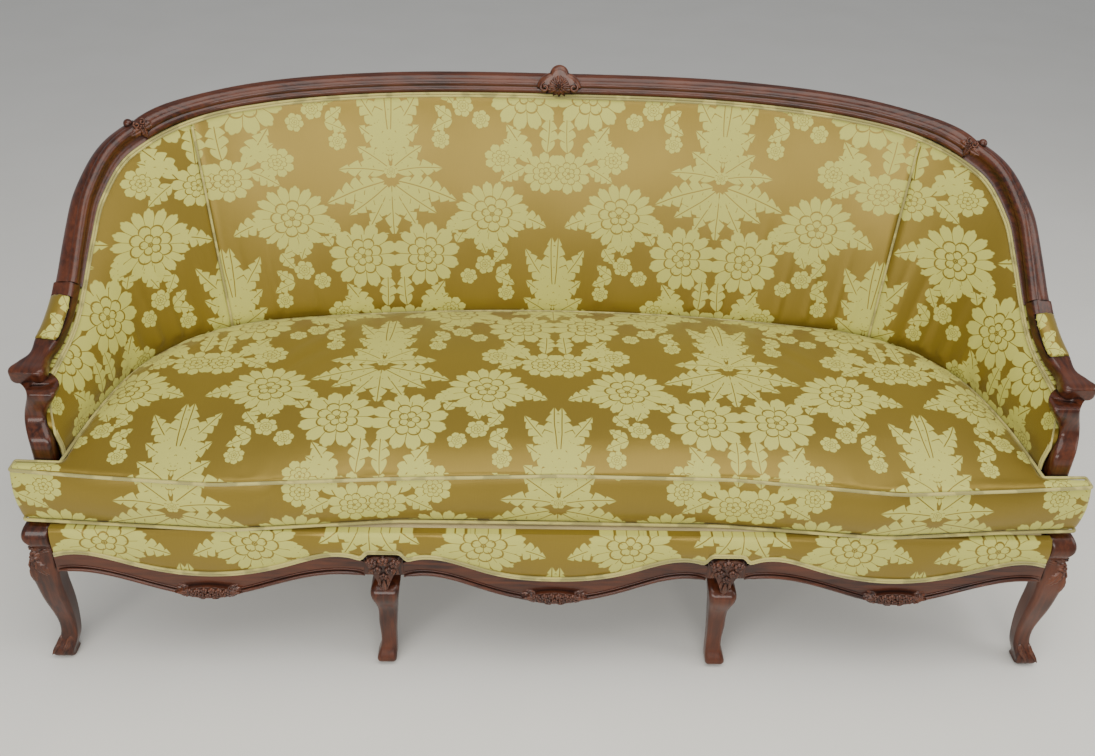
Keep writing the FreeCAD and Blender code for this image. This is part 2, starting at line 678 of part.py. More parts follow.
def rear_leg(station):
    """A back leg that kicks out below and runs up as a post to the top rail."""
    half, foot, kick = size("rear_leg_half"), size("rear_foot_half"), size("rear_leg_kick")
    bottom, top, inner = size("rail_bottom"), size("rail_top"), size("rail_inner")
    front, outer = size("post_front"), size("frame_outer") - 3 * LAYER_GAP
    middle, deep = (outer - inner) / 2, (outer + inner) / 2
    spot, outward, along = plan(station)

    def square(level, out, wide, depth):
        base = Vector(spot.x, spot.y, level)
        return rounded_box_wire(-wide, wide, out - depth, out + depth, 0, 4,
                                lambda a, b, _: base + along * a + outward * b)

    shoulder = 2
    leg = loft([
        square(FOOT_LEVEL, middle + kick, foot, foot),
        square(60, middle + kick * 0.62, foot, foot),
        square(130, middle + kick * 0.2, foot + 2, foot + 1),
        square(bottom - 16, middle, half - shoulder, deep - shoulder),
        square(bottom + 8, middle, half - shoulder, deep - shoulder),
    ])

    def quad(level, near, far, wide):
        corners = ((near, -wide), (far, -wide), (far, wide), (near, wide), (near, -wide))
        return Part.makePolygon([wall_point(station, level, out) + along * side for out, side in corners])

    block = Part.makeLoft([quad(bottom, -inner, outer, half), quad(top, -inner, outer, half)], True, True)
    centre, edge, _ = rail_frame(math.copysign(length_at(abs(station)), station))
    reach = centre - edge * (size("rail_half_width") + GAP)
    top_points = []
    post_half, post_outer = half - 1, outer - 1
    for out, side in ((front, -post_half), (post_outer, -post_half), (post_outer, post_half), (front, post_half)):
        base = wall_point(station, reach.z, out) + along * side
        drop = (base - reach).dot(edge) / (edge.z + RECLINE * edge.dot(outward))
        top_points.append(base - Vector(outward.x * RECLINE, outward.y * RECLINE, 1) * drop)
    post = Part.makeLoft([
        quad(top - 8, front, post_outer, post_half), quad(SEAT, front, post_outer, post_half),
        Part.makePolygon(top_points + top_points[:1]),
    ], True, True)
    return leg.fuse([block, post]).removeSplitter()


# The seat frame
def post_span(first, last, half_first, half_last):
    return wall_stations(first + half_first + GAP, last - half_last - GAP)


def seat_rail(first, last, half_first, half_last):
    return wall_band(post_span(first, last, half_first, half_last), level_value(size("rail_bottom")),
                     level_value(size("rail_top")), -size("rail_inner"), size("frame_outer"))


def stay_rail(first, last, half_first, half_last):
    low = size("stay_rail_bottom")
    return wall_band(post_span(first, last, half_first, half_last), level_value(low),
                     level_value(low + size("stay_rail_height")), size("post_front"), size("frame_outer"))


COLUMN_STATION = station_at_y(size("column_back_y"))


def scallop(points, lift=0):
    """A flowing line through points across the front, raised by lift."""
    curve = Part.BSplineCurve()
    curve.interpolate([Vector(x, 0, z + lift) for x, z in points])
    return curve.toShape()


MID_X, MID_HALF = size("mid_leg_x"), size("mid_leg_half")


def side_trim_line():
    """The upper edge of the show wood between a middle leg and a corner leg."""
    x0, x1 = MID_X + MID_HALF, size("column_x") - size("knee_half") + 2
    high, low, cusp = size("trim_line_high"), size("trim_line_low"), size("trim_line_cusp")
    span = x1 - x0
    return [(x0, cusp), (x0 + 0.055 * span, high), (x0 + 0.25 * span, (high + 2 * low) / 3 + 10),
            (x0 + 0.5 * span, low), (x0 + 0.75 * span, (high + 2 * low) / 3 + 8),
            (x0 + 0.92 * span, high), (x1, cusp + 4)]


def side_bottom_line():
    """The lower edge of the front rail between a middle leg and a corner leg."""
    x0, x1 = MID_X + MID_HALF, size("column_x") - size("knee_half") + 2
    high, low = size("front_bottom_high"), size("front_bottom_low")
    span = x1 - x0
    return [(x0, high - 5), (x0 + 0.08 * span, high), (x0 + 0.3 * span, (high + low) / 2 + 2),
            (x0 + 0.52 * span, low), (x0 + 0.74 * span, (high + low) / 2 + 2),
            (x0 + 0.93 * span, high), (x1, high - 3)]


def middle_trim_line():
    x1 = MID_X - MID_HALF
    high, low, cusp = size("trim_line_high") - 3, size("trim_line_low") - 4, size("trim_line_cusp") - 2
    half = [(0, low), (0.45 * x1, (high + low) / 2 - 8), (0.86 * x1, high), (x1, cusp)]
    return [(-x, z) for x, z in half[:0:-1]] + half


def middle_bottom_line():
    x1 = MID_X - MID_HALF
    high, low = size("front_bottom_high") - 2, size("front_bottom_low") - 6
    half = [(0, low), (0.45 * x1, (high + low) / 2 - 4), (0.86 * x1, high), (x1, high - 6)]
    return [(-x, z) for x, z in half[:0:-1]] + half


def strip_between(lower, upper, y0, y1):
    """A board between two lines across the front, from y0 to y1."""
    a, b = scallop(lower), scallop(upper)
    ends = [(lower[0], upper[0]), (lower[-1], upper[-1])]
    sides = [Part.LineSegment(Vector(p[0], 0, p[1]), Vector(q[0], 0, q[1])).toShape() for p, q in ends]
    face = Part.Face(Part.Wire(Part.__sortEdges__([a, b] + sides)))
    board = face.extrude(Vector(0, y1 - y0, 0))
    board.translate(Vector(0, y0, 0))
    return board


def raised(points, lift):
    return [(x, z + lift) for x, z in points]


def carved_boss(x, z):
    """The long low relief of flowers in the middle of a span."""
    length, height, face = size("carving_half_length"), size("carving_half_height"), size("front_face_y")
    middle = z + height + 2

    def put(dx, dz):
        return Vector(x + dx, face + 3, middle + dz)

    wire = closed_wire([(put(0, height), put(-length, 0)), (put(0, -height), put(length, 0))])
    return Part.Face(wire).extrude(Vector(0, -size("carving_rise") - 3, 0))


def front_rail(bottom, trim, boss_x, boss_z, reach):
    """A span of the front rail: the carved face, and the board behind it that takes the upholstery."""
    face, rabbet, back = size("front_face_y"), size("front_rabbet_y"), size("front_back_y")
    top = size("rail_top")
    gap = [(bottom[0][0] + GAP, bottom[0][1]), (bottom[-1][0] - GAP, bottom[-1][1])]
    bottom = [gap[0]] + bottom[1:-1] + [gap[1]]
    trim = [(gap[0][0], trim[0][1])] + trim[1:-1] + [(gap[1][0], trim[-1][1])]
    show = strip_between(bottom, trim, face, rabbet + 1)
    board_line = raised([(x, max(z, size("front_bottom_low") + 9)) for x, z in bottom], 3)
    board = strip_between(board_line, [(x, top) for x, _ in bottom], rabbet, back)
    rail = show.fuse(board)
    if reach:
        inner = size("column_inner_x") - GAP
        cut = box_between(inner, inner + 40, rabbet + 0.01, back + 1, 0, top + 1)
        rail = rail.cut(cut)
    return rail.fuse(carved_boss(boss_x, boss_z)).removeSplitter()


SIDE_BOSS_X = (MID_X + MID_HALF + COLUMN_X - size("knee_half")) / 2 + 12


def front_rail_right():
    return front_rail(side_bottom_line(), side_trim_line(), SIDE_BOSS_X, size("front_bottom_low"), True)


def front_rail_center():
    return front_rail(middle_bottom_line(), middle_trim_line(), 0, size("front_bottom_low") - 6, False)


# Upholstery
def front_border():
    """The padded fabric front between the show wood and the cushion."""
    face, rabbet, top = size("front_face_y"), size("front_rabbet_y"), size("deck_level")
    inner = size("column_x") - size("knee_half") - 1
    side, middle = raised(side_trim_line(), GAP), raised(middle_trim_line(), GAP)
    over = size("mid_leg_fan_top") + GAP

    def span(line):
        return strip_between(line, [(x, top) for x, _ in line], face, rabbet - GAP)

    pieces = [span(middle), span(side), mirrored(span(side))]
    for x in (-MID_X, MID_X):
        half = MID_HALF + 1
        pieces.append(box_between(x - half, x + half, face, rabbet - GAP, over, top))
    border = pieces[0].fuse(pieces[1:])
    end = box_between(inner, inner + 20, face - 1, rabbet + 1, 0, top + 1)
    return border.cut([end, mirrored(end)]).removeSplitter()


def front_trim():
    """The flat trim of two cords along the upper edge of the show wood."""
    width, face = size("trim_width"), size("front_face_y") - GAP
    inner = size("column_x") - size("knee_half") - 1
    side = side_trim_line()
    strips = []
    for line in (middle_trim_line(), side, [(-x, z) for x, z in side[::-1]]):
        proud = face - size("trim_height")
        strips.append(strip_between(raised(line, 1), raised(line, 1 + width), proud, face))
    top = size("mid_leg_fan_top") + 1
    for x in (-MID_X, MID_X):
        half = MID_HALF + 1
        ends = (middle_trim_line()[-1][1], side_trim_line()[0][1])
        low, high = min(ends), top + width
        arch = box_between(x - half, x + half, face - size("trim_height"), face, top, high)
        for side_sign in (-1, 1):
            edge_x = x + side_sign * (half - width / 2)
            arch = arch.fuse(box_between(edge_x - width / 2, edge_x + width / 2,
                                         face - size("trim_height"), face, low + 1, high))
        strips.append(arch)
    trim = strips[0].fuse(strips[1:])
    fan_gap = box_between(-MID_X - MID_HALF, -MID_X + MID_HALF, face - 9, face + 1, 0, top - 0.5)
    end = box_between(inner, inner + 20, face - 9, face + 1, 0, SEAT)
    return trim.cut([fan_gap, mirrored(fan_gap), end, mirrored(end)]).removeSplitter()


SEAM = size("seam_station")
INSIDE_LOW = size("deck_level") + GAP


def crown_between(first, last):
    """How far a panel bows at a station: nothing at its edges and the full crown between them."""
    def bow(station):
        share = min(max((station - first) / (last - first), 0), 1)
        return 0.2 + (size("back_crown") - 0.2) * math.sin(math.pi * share)
    return bow


def inside_panel(stations, first, last):
    return wall_band(stations, level_value(INSIDE_LOW), fabric_top, -size("pad_face"), size("pad_back"),
                     crown_between(first, last))


def inside_back_center():
    return inside_panel(wall_stations(GAP - SEAM, SEAM - GAP), -SEAM, SEAM)


def inside_back_right():
    """The wing panel; its front edge is fitted round the arm stump."""
    end = COLUMN_STATION + 30
    panel = inside_panel(wall_stations(SEAM + GAP, end), SEAM, end)
    return largest(panel.cut(front_of_stump(size("stump_reveal") + GAP)))


def outside_cover(stations):
    outer = size("frame_outer") + LAYER_GAP
    low = level_value(size("rail_bottom"))
    return wall_band(stations, low, cover_top, outer, outer + size("cover_thickness"))


def outside_back():
    reach = size("rear_corner_station")
    return outside_cover(wall_stations(GAP - reach, reach - GAP))


def outside_side_right():
    start = size("rear_corner_station") + GAP
    stations = wall_stations(start, COLUMN_STATION - GAP)
    behind = 2 * size("stump_half") + 16 * LAYER_GAP
    return largest(outside_cover(stations).cut(front_of_stump(behind)))


def trim_wire(length):
    """Two cords side by side along the inner edge of the wood."""
    centre, edge, _ = rail_frame(length)
    half, height = size("trim_width") / 2, size("trim_height")
    middle_line = centre - edge * (wood_below(length) + 2 * LAYER_GAP + half)
    station = nearest_station(middle_line, rail_at(length)[0])
    spot = wall_point(station, middle_line.z, 0)
    normal = (plan(station)[1] - Vector(0, 0, RECLINE)).normalize()
    edge = (edge - normal * edge.dot(normal)).normalize()
    high, middle, low, base = half, 0, -half, -size("pad_face") - 2 * LAYER_GAP

    def put(e, n):
        return spot + edge * e + normal * n

    side = base - height / 2
    return closed_wire([
        put(high, side),
        (put((middle + high) / 2, base - height), put(middle, side)),
        (put((low + middle) / 2, base - height), put(low, side)),
        put(low, base),
        put(high, base),
    ])


def back_trim_part(first, last, count):
    ends = [math.copysign(length_at(abs(s)), s) for s in (first, last)]
    return loft([trim_wire(length) for length in steps(ends[0], ends[1], count)])


def seam_welt_right():
    """The cord over the seam between the back and the wing."""
    half, base = size("welt_radius"), -size("pad_face") - LAYER_GAP
    rim = fabric_top(SEAM) - size("trim_width") - 1
    stations = (SEAM - half, SEAM, SEAM + half)
    wires = []
    for level in (SEAT, rim):
        left, middle, right = [wall_point(s, level, base) for s in stations]
        crown = wall_point(SEAM, level, base - size("welt_radius"))
        wires.append(closed_wire([(crown, right), left]))
    return Part.makeLoft(wires, True, True)


# The sprung seat
def deck_corners(out, front):
    """The front right corner of a level sheet that fills the seat."""
    return [(0, front, 0), (straight_x(front, out), front, 2)]


def seat_sheet(out, front, level, thickness):
    return plate(seat_outline(out, level, deck_corners(out, front)), thickness)


def seat_burlap():
    level = size("rail_top") + GAP
    return seat_sheet(size("pad_back"), size("front_rabbet_y"), level, size("burlap_thickness"))


def seat_deck():
    level = size("rail_top") + size("burlap_thickness") + 2 * GAP
    return seat_sheet(size("pad_back"), size("front_rabbet_y"), level, size("deck_level") - level)


WEBBING_TOP = size("rail_bottom") - GAP
WEB_STEP = size("webbing_thickness") + GAP
WEB_MIDDLE = 15


def basket_y(x):
    """The y of the rear seat rail's middle line at some x."""
    low, high = 0, STATION_3
    for _ in range(40):
        middle = (low + high) / 2
        if upright_point(middle, 0, WEB_MIDDLE).x < x:
            low = middle
        else:
            high = middle
    return upright_point(low, 0, WEB_MIDDLE).y


def basket_x(y):
    low, high = 0, COLUMN_STATION
    for _ in range(40):
        middle = (low + high) / 2
        if upright_point(middle, 0, WEB_MIDDLE).y > y:
            low = middle
        else:
            high = middle
    return upright_point(low, 0, WEB_MIDDLE).x


SPRING_XS = [size("spring_pitch_x") * i for i in range(-3, 4)]
SPRING_YS = [size("spring_pitch_y") * (j - 1) - 95 for j in range(3)]


def seat_webbing():
    """Strips of webbing from front to back and from side to side, under the springs."""
    half, thick = size("webbing_width") / 2, size("webbing_thickness")
    strips = []
    front = size("front_back_y") + size("batten_size") / 2
    for x in SPRING_XS:
        back = basket_y(abs(x) + half)
        strips.append(box_between(x - half, x + half, front, back, WEBBING_TOP - thick, WEBBING_TOP))
    for y in SPRING_YS:
        reach = basket_x(y + half) if y > -150 else basket_x(y)
        low = WEBBING_TOP - WEB_STEP - thick
        strips.append(box_between(-reach, reach, y - half, y + half, low, low + thick))
    return strips


def back_webbing():
    """Upright strips of webbing that carry the back and wing padding."""
    half = size("webbing_width") / 2
    low, inner = size("stay_rail_bottom"), size("pad_back") + LAYER_GAP
    outer = size("post_front") - LAYER_GAP
    strips = []
    for s in (75, 180, 410, 515, 620, 870, 950, 1035, 1115):
        stations = (s - half, s, s + half)
        strip = wall_band(stations, level_value(low), lambda station: fabric_top(station) - 1, inner, outer)
        strips += [strip, mirrored(strip)]
    return strips


def seat_spring():
    """One coil spring that is pinched at the waist."""
    wire, radius, turns = size("spring_wire_radius"), size("spring_radius"), int(size("spring_turns"))
    bottom = WEBBING_TOP + GAP + wire
    height = size("rail_top") - wire - bottom
    points = []
    count = turns * 4
    for i in range(2 * count + 1):
        turn = math.pi * i / 4
        share = i / (2 * count)
        rise = min(max((share - 0.06) / 0.88, 0), 1)
        r = radius * (0.72 + 0.28 * abs(2 * share - 1)) - wire
        points.append(Vector(r * math.cos(turn), r * math.sin(turn), bottom + height * rise))
    arcs = [Part.Arc(points[i], points[i + 1], points[i + 2]).toShape() for i in range(0, 2 * count, 2)]
    path = Part.Wire(arcs)
    start = arcs[0].tangentAt(arcs[0].FirstParameter)
    profile = Part.Wire(Part.Circle(points[0], start, wire).toShape())
    return path.makePipeShell([profile], True, False)


def seat_springs():
    spring = seat_spring()
    springs = []
    for x in SPRING_XS:
        for y in SPRING_YS:
            copy = spring.copy()
            copy.translate(Vector(x, y, 0))
            springs.append(copy)
    return springs


# The loose cushion
CUSHION_LOW = size("deck_level") + GAP
CUSHION_SIDE = -size("pad_face") - size("cushion_gap")
CUSHION_DRAWN = size("welt_radius") + 4 * GAP


def cushion_outline(level, inset, bulge):
    """The T-shaped outline of the cushion; bulge moves its front forward."""
    within = min(inset, CUSHION_DRAWN) + 0.35 * max(inset - CUSHION_DRAWN, 0)
    ear_x, ear_y = size("cushion_ear_x") - inset, size("cushion_ear_y")
    back = size("stump_front_y") - size("welt_radius") - 2 * GAP - within
    out = CUSHION_SIDE - inset
    middle, swell = size("cushion_front_middle") + inset - bulge, size("cushion_front_bulge") + inset - bulge
    bulge_x = size("cushion_bulge_x")
    corners = [
        (0, middle, 0), (0.5 * bulge_x, middle, 500), (bulge_x, swell, 400),
        (0.85 * ear_x, ear_y - 8 + inset - bulge, 300), (ear_x, ear_y + within - 0.3 * max(bulge, 0), 5),
        (ear_x, back, 3), (straight_x(back, out), back, 3),
    ]
    return seat_outline(out, level, corners)


def cushion_crown_tool():
    """A wide body whose top is domed over the seat."""
    reach, top = size("cushion_ear_x") + 20, CUSHION_LOW + size("cushion_boxing")
    crown = size("cushion_crown")
    wires = []
    for x in steps(-reach, reach, 15):
        lift = crown * (1 - abs(x / reach) ** 3.2)
        front, back = size("cushion_front_bulge") - 30, BACK_LINE + 10
        low = CUSHION_LOW
        wires.append(closed_wire([
            Vector(x, back, low), Vector(x, back, top),
            (Vector(x, (front + back) / 2, top + lift + 3), Vector(x, front, top)), Vector(x, front, low),
        ]))
    return loft(wires)


WELT_LOW = CUSHION_LOW + size("welt_radius") + 1
WELT_HIGH = CUSHION_LOW + size("cushion_boxing")


def seat_cushion():
    """A boxed cushion with a domed top, a front that bulges and edges drawn in at the welts."""
    bulge, drawn = size("cushion_bulge"), CUSHION_DRAWN
    dome = WELT_HIGH + size("cushion_crown") + 6
    underside = loft([
        cushion_outline(CUSHION_LOW, 1.5 * drawn, 0), cushion_outline(WELT_LOW, drawn, 0),
    ], True)
    boxing = loft([
        cushion_outline(WELT_LOW, drawn, 0), cushion_outline((WELT_LOW + WELT_HIGH) / 2, 0, bulge),
        cushion_outline(WELT_HIGH, drawn, 0),
    ])
    top = loft([cushion_outline(WELT_HIGH, drawn, 0), cushion_outline(dome, 14, -20)], True)
    return underside.fuse([boxing, top.common(cushion_crown_tool())]).removeSplitter()


def cushion_welt(level):
    """The cord sewn round an edge of the cushion."""
    path = cushion_outline(level, 0, 0)
    spot = path.Edges[0].valueAt(path.Edges[0].FirstParameter)
    along = path.Edges[0].tangentAt(path.Edges[0].FirstParameter)
    profile = Part.Wire(Part.Circle(spot, along, size("welt_radius")).toShape())
    return path.makePipeShell([profile], True, False)


# Pieces drawn from the sheet: each coordinate and length is bound to its cells
def bound(thing, **formulas):
    for prop, formula in formulas.items():
        thing.setExpression(prop.replace("_of_", "."), formula)
    return thing


def origin_plane(body, role):
    return next(plane for plane in body.Origin.OriginFeatures if plane.Role == role)


def drawn_profile(body, name, role, corners):
    """A closed sketch of straight lines whose corners are formulas of the sheet."""
    sketch = body.newObject("Sketcher::SketchObject", name)
    sketch.AttachmentSupport = [(origin_plane(body, role), "")]
    sketch.MapMode = "FlatFace"
    count = len(corners)
    rough = [Vector(10 * i + 1, i * i, 0) for i in range(count)]
    for i in range(count):
        sketch.addGeometry(Part.LineSegment(rough[i], rough[(i + 1) % count]), False)
    for i in range(count):
        sketch.addConstraint(Sketcher.Constraint("Coincident", i, 2, (i + 1) % count, 1))
    axes = {"DistanceX": -2, "DistanceY": -1}
    for i, corner in enumerate(corners):
        for kind, formula in zip(("DistanceX", "DistanceY"), corner):
            if formula == "0":
                sketch.addConstraint(Sketcher.Constraint("PointOnObject", i, 1, axes[kind]))
            else:
                index = sketch.addConstraint(Sketcher.Constraint(kind, -1, 1, i, 1, 1.0))
                sketch.setExpression("Constraints[%d]" % index, formula)
    return sketch


def padded_body(name, corners, length):
    body = doc.addObject("PartDesign::Body", name)
    sketch = drawn_profile(body, name + "_outline", "XY_Plane", corners)
    pad = body.newObject("PartDesign::Pad", name + "_pad")
    pad.Profile = sketch
    bound(pad, Length=length)
    return body


def turned_body(name, corners):
    body = doc.addObject("PartDesign::Body", name)
    sketch = drawn_profile(body, name + "_outline", "XZ_Plane", corners)
    turn = body.newObject("PartDesign::Revolution", name + "_turn")
    turn.Profile = sketch
    turn.ReferenceAxis = (sketch, ["V_Axis"])
    turn.Angle = 360
    return body


def stock_pieces():
    """One of each fastener and foot, to be copied into place."""
    peg = bound(doc.addObject("Part::Cylinder", "dowel_stock"),
                Radius="sizes.dowel_radius", Height="sizes.dowel_length")
    screw = turned_body("screw_stock", [
        ("0", "0"), ("sizes.screw_head_radius", "0"), ("sizes.screw_radius", "sizes.screw_head_radius"),
        ("sizes.screw_radius", "sizes.screw_length"), ("0", "sizes.screw_length"),
    ])
    tack = turned_body("tack_stock", [
        ("0", "0"), ("sizes.tack_head_radius", "0"), ("sizes.tack_head_radius", "sizes.tack_head_height"),
        ("sizes.tack_radius", "sizes.tack_head_height"), ("sizes.tack_radius", "sizes.tack_length"),
        ("0", "sizes.tack_length"),
    ])
    glide = turned_body("glide_stock", [
        ("0", "0"), ("sizes.glide_radius - 1.5", "0"), ("sizes.glide_radius", "1.5"),
        ("sizes.glide_radius", "sizes.glide_height - sizes.fit_gap"),
        ("sizes.glide_pin_radius", "sizes.glide_height - sizes.fit_gap"),
        ("sizes.glide_pin_radius", "sizes.glide_height + sizes.glide_pin_length"),
        ("0", "sizes.glide_height + sizes.glide_pin_length"),
    ])
    doc.recompute()
    return peg, screw, tack, glide


DOWEL, SCREW, TACK, GLIDE = stock_pieces()
PLACED = {"dowels": [], "block_screws": [], "cover_tacks": [], "foot_glides": []}
HOLES = {}


def hole(owner, shape):
    HOLES.setdefault(owner, []).append(shape)


def place_copy(kind, stock, spot, direction):
    """Copies a stock piece to a spot, with its +Z turned to a direction."""
    copy = stock.Shape.copy()
    copy.Placement = Placement(spot, Rotation(Vector(0, 0, 1), direction))
    PLACED[kind].append(copy)


def flipped(vector):
    return Vector(-vector.x, vector.y, vector.z)


def both_sides(owner):
    """The names of an owner on the right and, mirrored, on the left."""
    return (owner, owner.replace("_right", "_left"))


def dowel(spot, direction, owners, shift=0, twin=True):
    """A dowel across a joint, with its hole in each piece that it enters, and its mirror twin."""
    direction = Vector(direction).normalize()
    length, radius = size("dowel_length"), size("dowel_radius") + GAP / 2
    for side in (0, 1) if twin else (0,):
        turned = flipped(direction) if side else direction
        start = (flipped(spot) if side else spot) + turned * (shift - length / 2)
        place_copy("dowels", DOWEL, start, turned)
        bore = Part.makeCylinder(radius, length + GAP, start - turned * (GAP / 2), turned)
        for owner in owners:
            hole(both_sides(owner)[side], bore)


def dowel_pair(spot, direction, across, spread, owners, **more):
    for side in (-1, 1):
        dowel(spot + across * (side * spread), direction, owners, **more)


UP = Vector(0, 0, 1)


def rail_dowels():
    """Dowels along the show-wood rail: at the clasps, at the arms and on the tops of the rear legs."""
    middle = (size("rail_behind") - size("rail_front")) / 2
    for station, owners in ((size("clasp_station"), ("top_rail_center", "top_rail_right")),
                            (size("arm_station"), ("top_rail_right", "arm_right"))):
        length = length_at(station)
        centre, edge, normal = rail_frame(length)
        along = rail_centre(length + 2) - rail_centre(length - 2)
        dowel_pair(centre + normal * middle, along, normal, 9, owners)
    post_middle = (size("post_front") + size("frame_outer")) / 2
    for station, name in ((size("rear_mid_station"), "rear_leg_middle_right"),
                          (size("rear_corner_station"), "rear_leg_corner_right")):
        centre, edge, normal = rail_frame(length_at(station))
        _, _, along = plan(station)
        spot = centre - edge * size("rail_half_width") + normal * post_middle
        dowel_pair(spot, edge, along, 11, ("top_rail_center", name))


def seat_frame_dowels():
    """Dowels between the seat rails, the stay rails and the legs."""
    rail_out = (size("frame_outer") - size("rail_inner")) / 2
    stay_out = (size("post_front") + size("frame_outer")) / 2
    rail_level = (size("rail_bottom") + size("rail_top")) / 2
    stay_level = size("stay_rail_bottom") + size("stay_rail_height") / 2
    half = size("rear_leg_half")
    clear = size("dowel_length") / 2 - half + 3
    joints = [
        (size("rear_mid_station") - half, -clear, "_center", "rear_leg_middle_right"),
        (size("rear_mid_station") + half, clear, "_right", "rear_leg_middle_right"),
        (size("rear_corner_station") - half, -clear, "_right", "rear_leg_corner_right"),
    ]
    for station, shift, ending, leg in joints:
        _, _, along = plan(station)
        for kind, level, out, spread in (("back_seat_rail", rail_level, rail_out, 20),
                                         ("back_stay_rail", stay_level, stay_out, 11)):
            spot = upright_point(station, level, out)
            dowel_pair(spot, along, UP, spread, (kind + ending, leg), shift=shift)
    station = size("rear_corner_station") + half
    _, _, along = plan(station)
    dowel_pair(upright_point(station, rail_level, rail_out), along, UP, 20,
               ("side_seat_rail_right", "rear_leg_corner_right"), shift=clear)


def front_dowels():
    """Dowels at the corner columns, the middle legs and the braces."""
    board_y = (size("front_rabbet_y") + size("front_back_y")) / 2
    low, high = size("rail_bottom") + 22, size("rail_top") - 18
    side_x = (size("column_inner_x") + straight_x(size("column_back_y"), size("frame_outer"))) / 2
    for level, column in ((low, "front_leg_corner_right"), (high, "arm_stump_right")):
        dowel(Vector(side_x, size("column_back_y"), level), Vector(0, 1, 0), (column, "side_seat_rail_right"))
        dowel(Vector(size("column_inner_x"), board_y, level), Vector(1, 0, 0), (column, "front_rail_right"),
              shift=-2 * size("dowel_radius"))
        for x, rail in ((MID_X - MID_HALF, "front_rail_center"), (MID_X + MID_HALF, "front_rail_right")):
            dowel(Vector(x, board_y, level), Vector(1, 0, 0), ("front_leg_middle_right", rail))
    dowel_pair(Vector(COLUMN_X, COLUMN_Y, STUMP_FOOT), UP, Vector(1, 0, 0), 10,
               ("front_leg_corner_right", "arm_stump_right"))
    lean = Vector(0, size("stump_sweep") / 2, STUMP_TOP.z - 540)
    dowel(STUMP_TOP, lean, ("arm_stump_right", "arm_right"), shift=-8)


BRACE_X = size("rear_mid_station") + 3


def seat_brace():
    """A brace from a middle front leg to a middle rear leg."""
    brace = bound(doc.addObject("Part::Box", "brace_stock"), Length="sizes.brace_width",
                  Height="sizes.brace_height")
    _, _, along = plan(size("rear_mid_station"))
    slant = abs(along.y / along.x) * size("brace_width")
    back = upright_point(size("rear_mid_station"), 0, -size("rail_inner")).y - slant
    front = size("mid_leg_back_y") + GAP
    brace.Width = back - front
    low = size("rail_bottom") + size("batten_size") / 2
    brace.Placement = Placement(Vector(BRACE_X - size("brace_width") / 2, front, low), Rotation())
    middle = low + size("brace_height") / 2
    for y, leg in ((front, "front_leg_middle_right"), (back, "rear_leg_middle_right")):
        dowel(Vector(BRACE_X, y, middle), Vector(0, 1, 0), (leg, "seat_brace_right", ))
    return brace


def webbing_battens():
    """Strips behind the front rails that the webbing is tacked to."""
    battens = []
    clear = size("mid_leg_half") + GAP
    column_end = size("column_inner_x") - size("block_leg") * 0.4
    spans = [(-MID_X + clear, MID_X - clear), (MID_X + clear, column_end)]
    for i, (first, last) in enumerate(spans):
        batten = bound(doc.addObject("Part::Box", "batten_stock_%d" % i), Width="sizes.batten_size",
                       Height="sizes.batten_size", Placement_of_Base_of_z="sizes.rail_bottom",
                       Placement_of_Base_of_y="sizes.front_back_y + sizes.fit_gap")
        batten.Length = last - first
        batten.Placement.Base.x = first
        doc.recompute()
        battens.append(batten.Shape)
    return battens + [mirrored(battens[1])]


def corner_block():
    """A triangular block that ties the front rail to the side rail, with two screws."""
    triangle = [("0", "0"), ("-sizes.block_leg", "0"), ("0", "sizes.block_leg")]
    block = padded_body("corner_block_stock", triangle, "sizes.block_height")
    doc.recompute()
    leg, front = size("block_leg"), size("front_back_y") + GAP
    corner_x = upright_point(station_at_y(front + leg), 0, -size("rail_inner")).x - GAP
    low = size("rail_bottom") + size("batten_size") + GAP
    corner = Vector(corner_x, front, low)
    shape = block.Shape.copy()
    shape.Placement = Placement(corner, Rotation())
    middle, bite = low + size("block_height") / 2, 18
    depth = size("screw_length") - bite
    into_front = Vector(corner_x - leg + depth, front + depth, middle - 9)
    into_side = Vector(corner_x - depth, front + leg - depth, middle + 9)
    for spot, direction, rail in ((into_front, Vector(0, -1, 0), "front_rail_right"),
                                  (into_side, Vector(1, 0, 0), "side_seat_rail_right")):
        for side in (0, 1):
            place, way = (flipped(spot), flipped(direction)) if side else (spot, direction)
            place_copy("block_screws", SCREW, place, way)
            sink = Part.makeCylinder(size("screw_head_radius") + GAP, 12, place - way * 12, way)
            head = Part.makeCone(size("screw_head_radius") + GAP, size("screw_radius") + GAP,
                                 size("screw_head_radius"), place, way)
            bore = Part.makeCylinder(size("screw_radius") + GAP, size("screw_length") + GAP, place, way)
            hole(both_sides("corner_block_right")[side], sink.fuse([head, bore]))
            hole(both_sides(rail)[side], bore)
    return shape


COVER_LEVEL = WEBBING_TOP - 2 * WEB_STEP - size("burlap_thickness")


def leg_clearances():
    """Square cuts through the dust cover, one round each leg that passes it."""
    thick = size("burlap_thickness")
    slab = box_between(-1100, 1100, -500, 500, COVER_LEVEL - GAP, COVER_LEVEL + thick + GAP)
    cuts = []
    for stem in ("front_leg_middle", "rear_leg_middle", "rear_leg_corner"):
        for name in both_sides(stem + "_right"):
            box = PIECES[name].common(slab).BoundBox
            cuts.append(box_between(
                box.XMin - 1, box.XMax + 1, box.YMin - 1, box.YMax + 1, box.ZMin - 1, box.ZMax + 1))
    return cuts




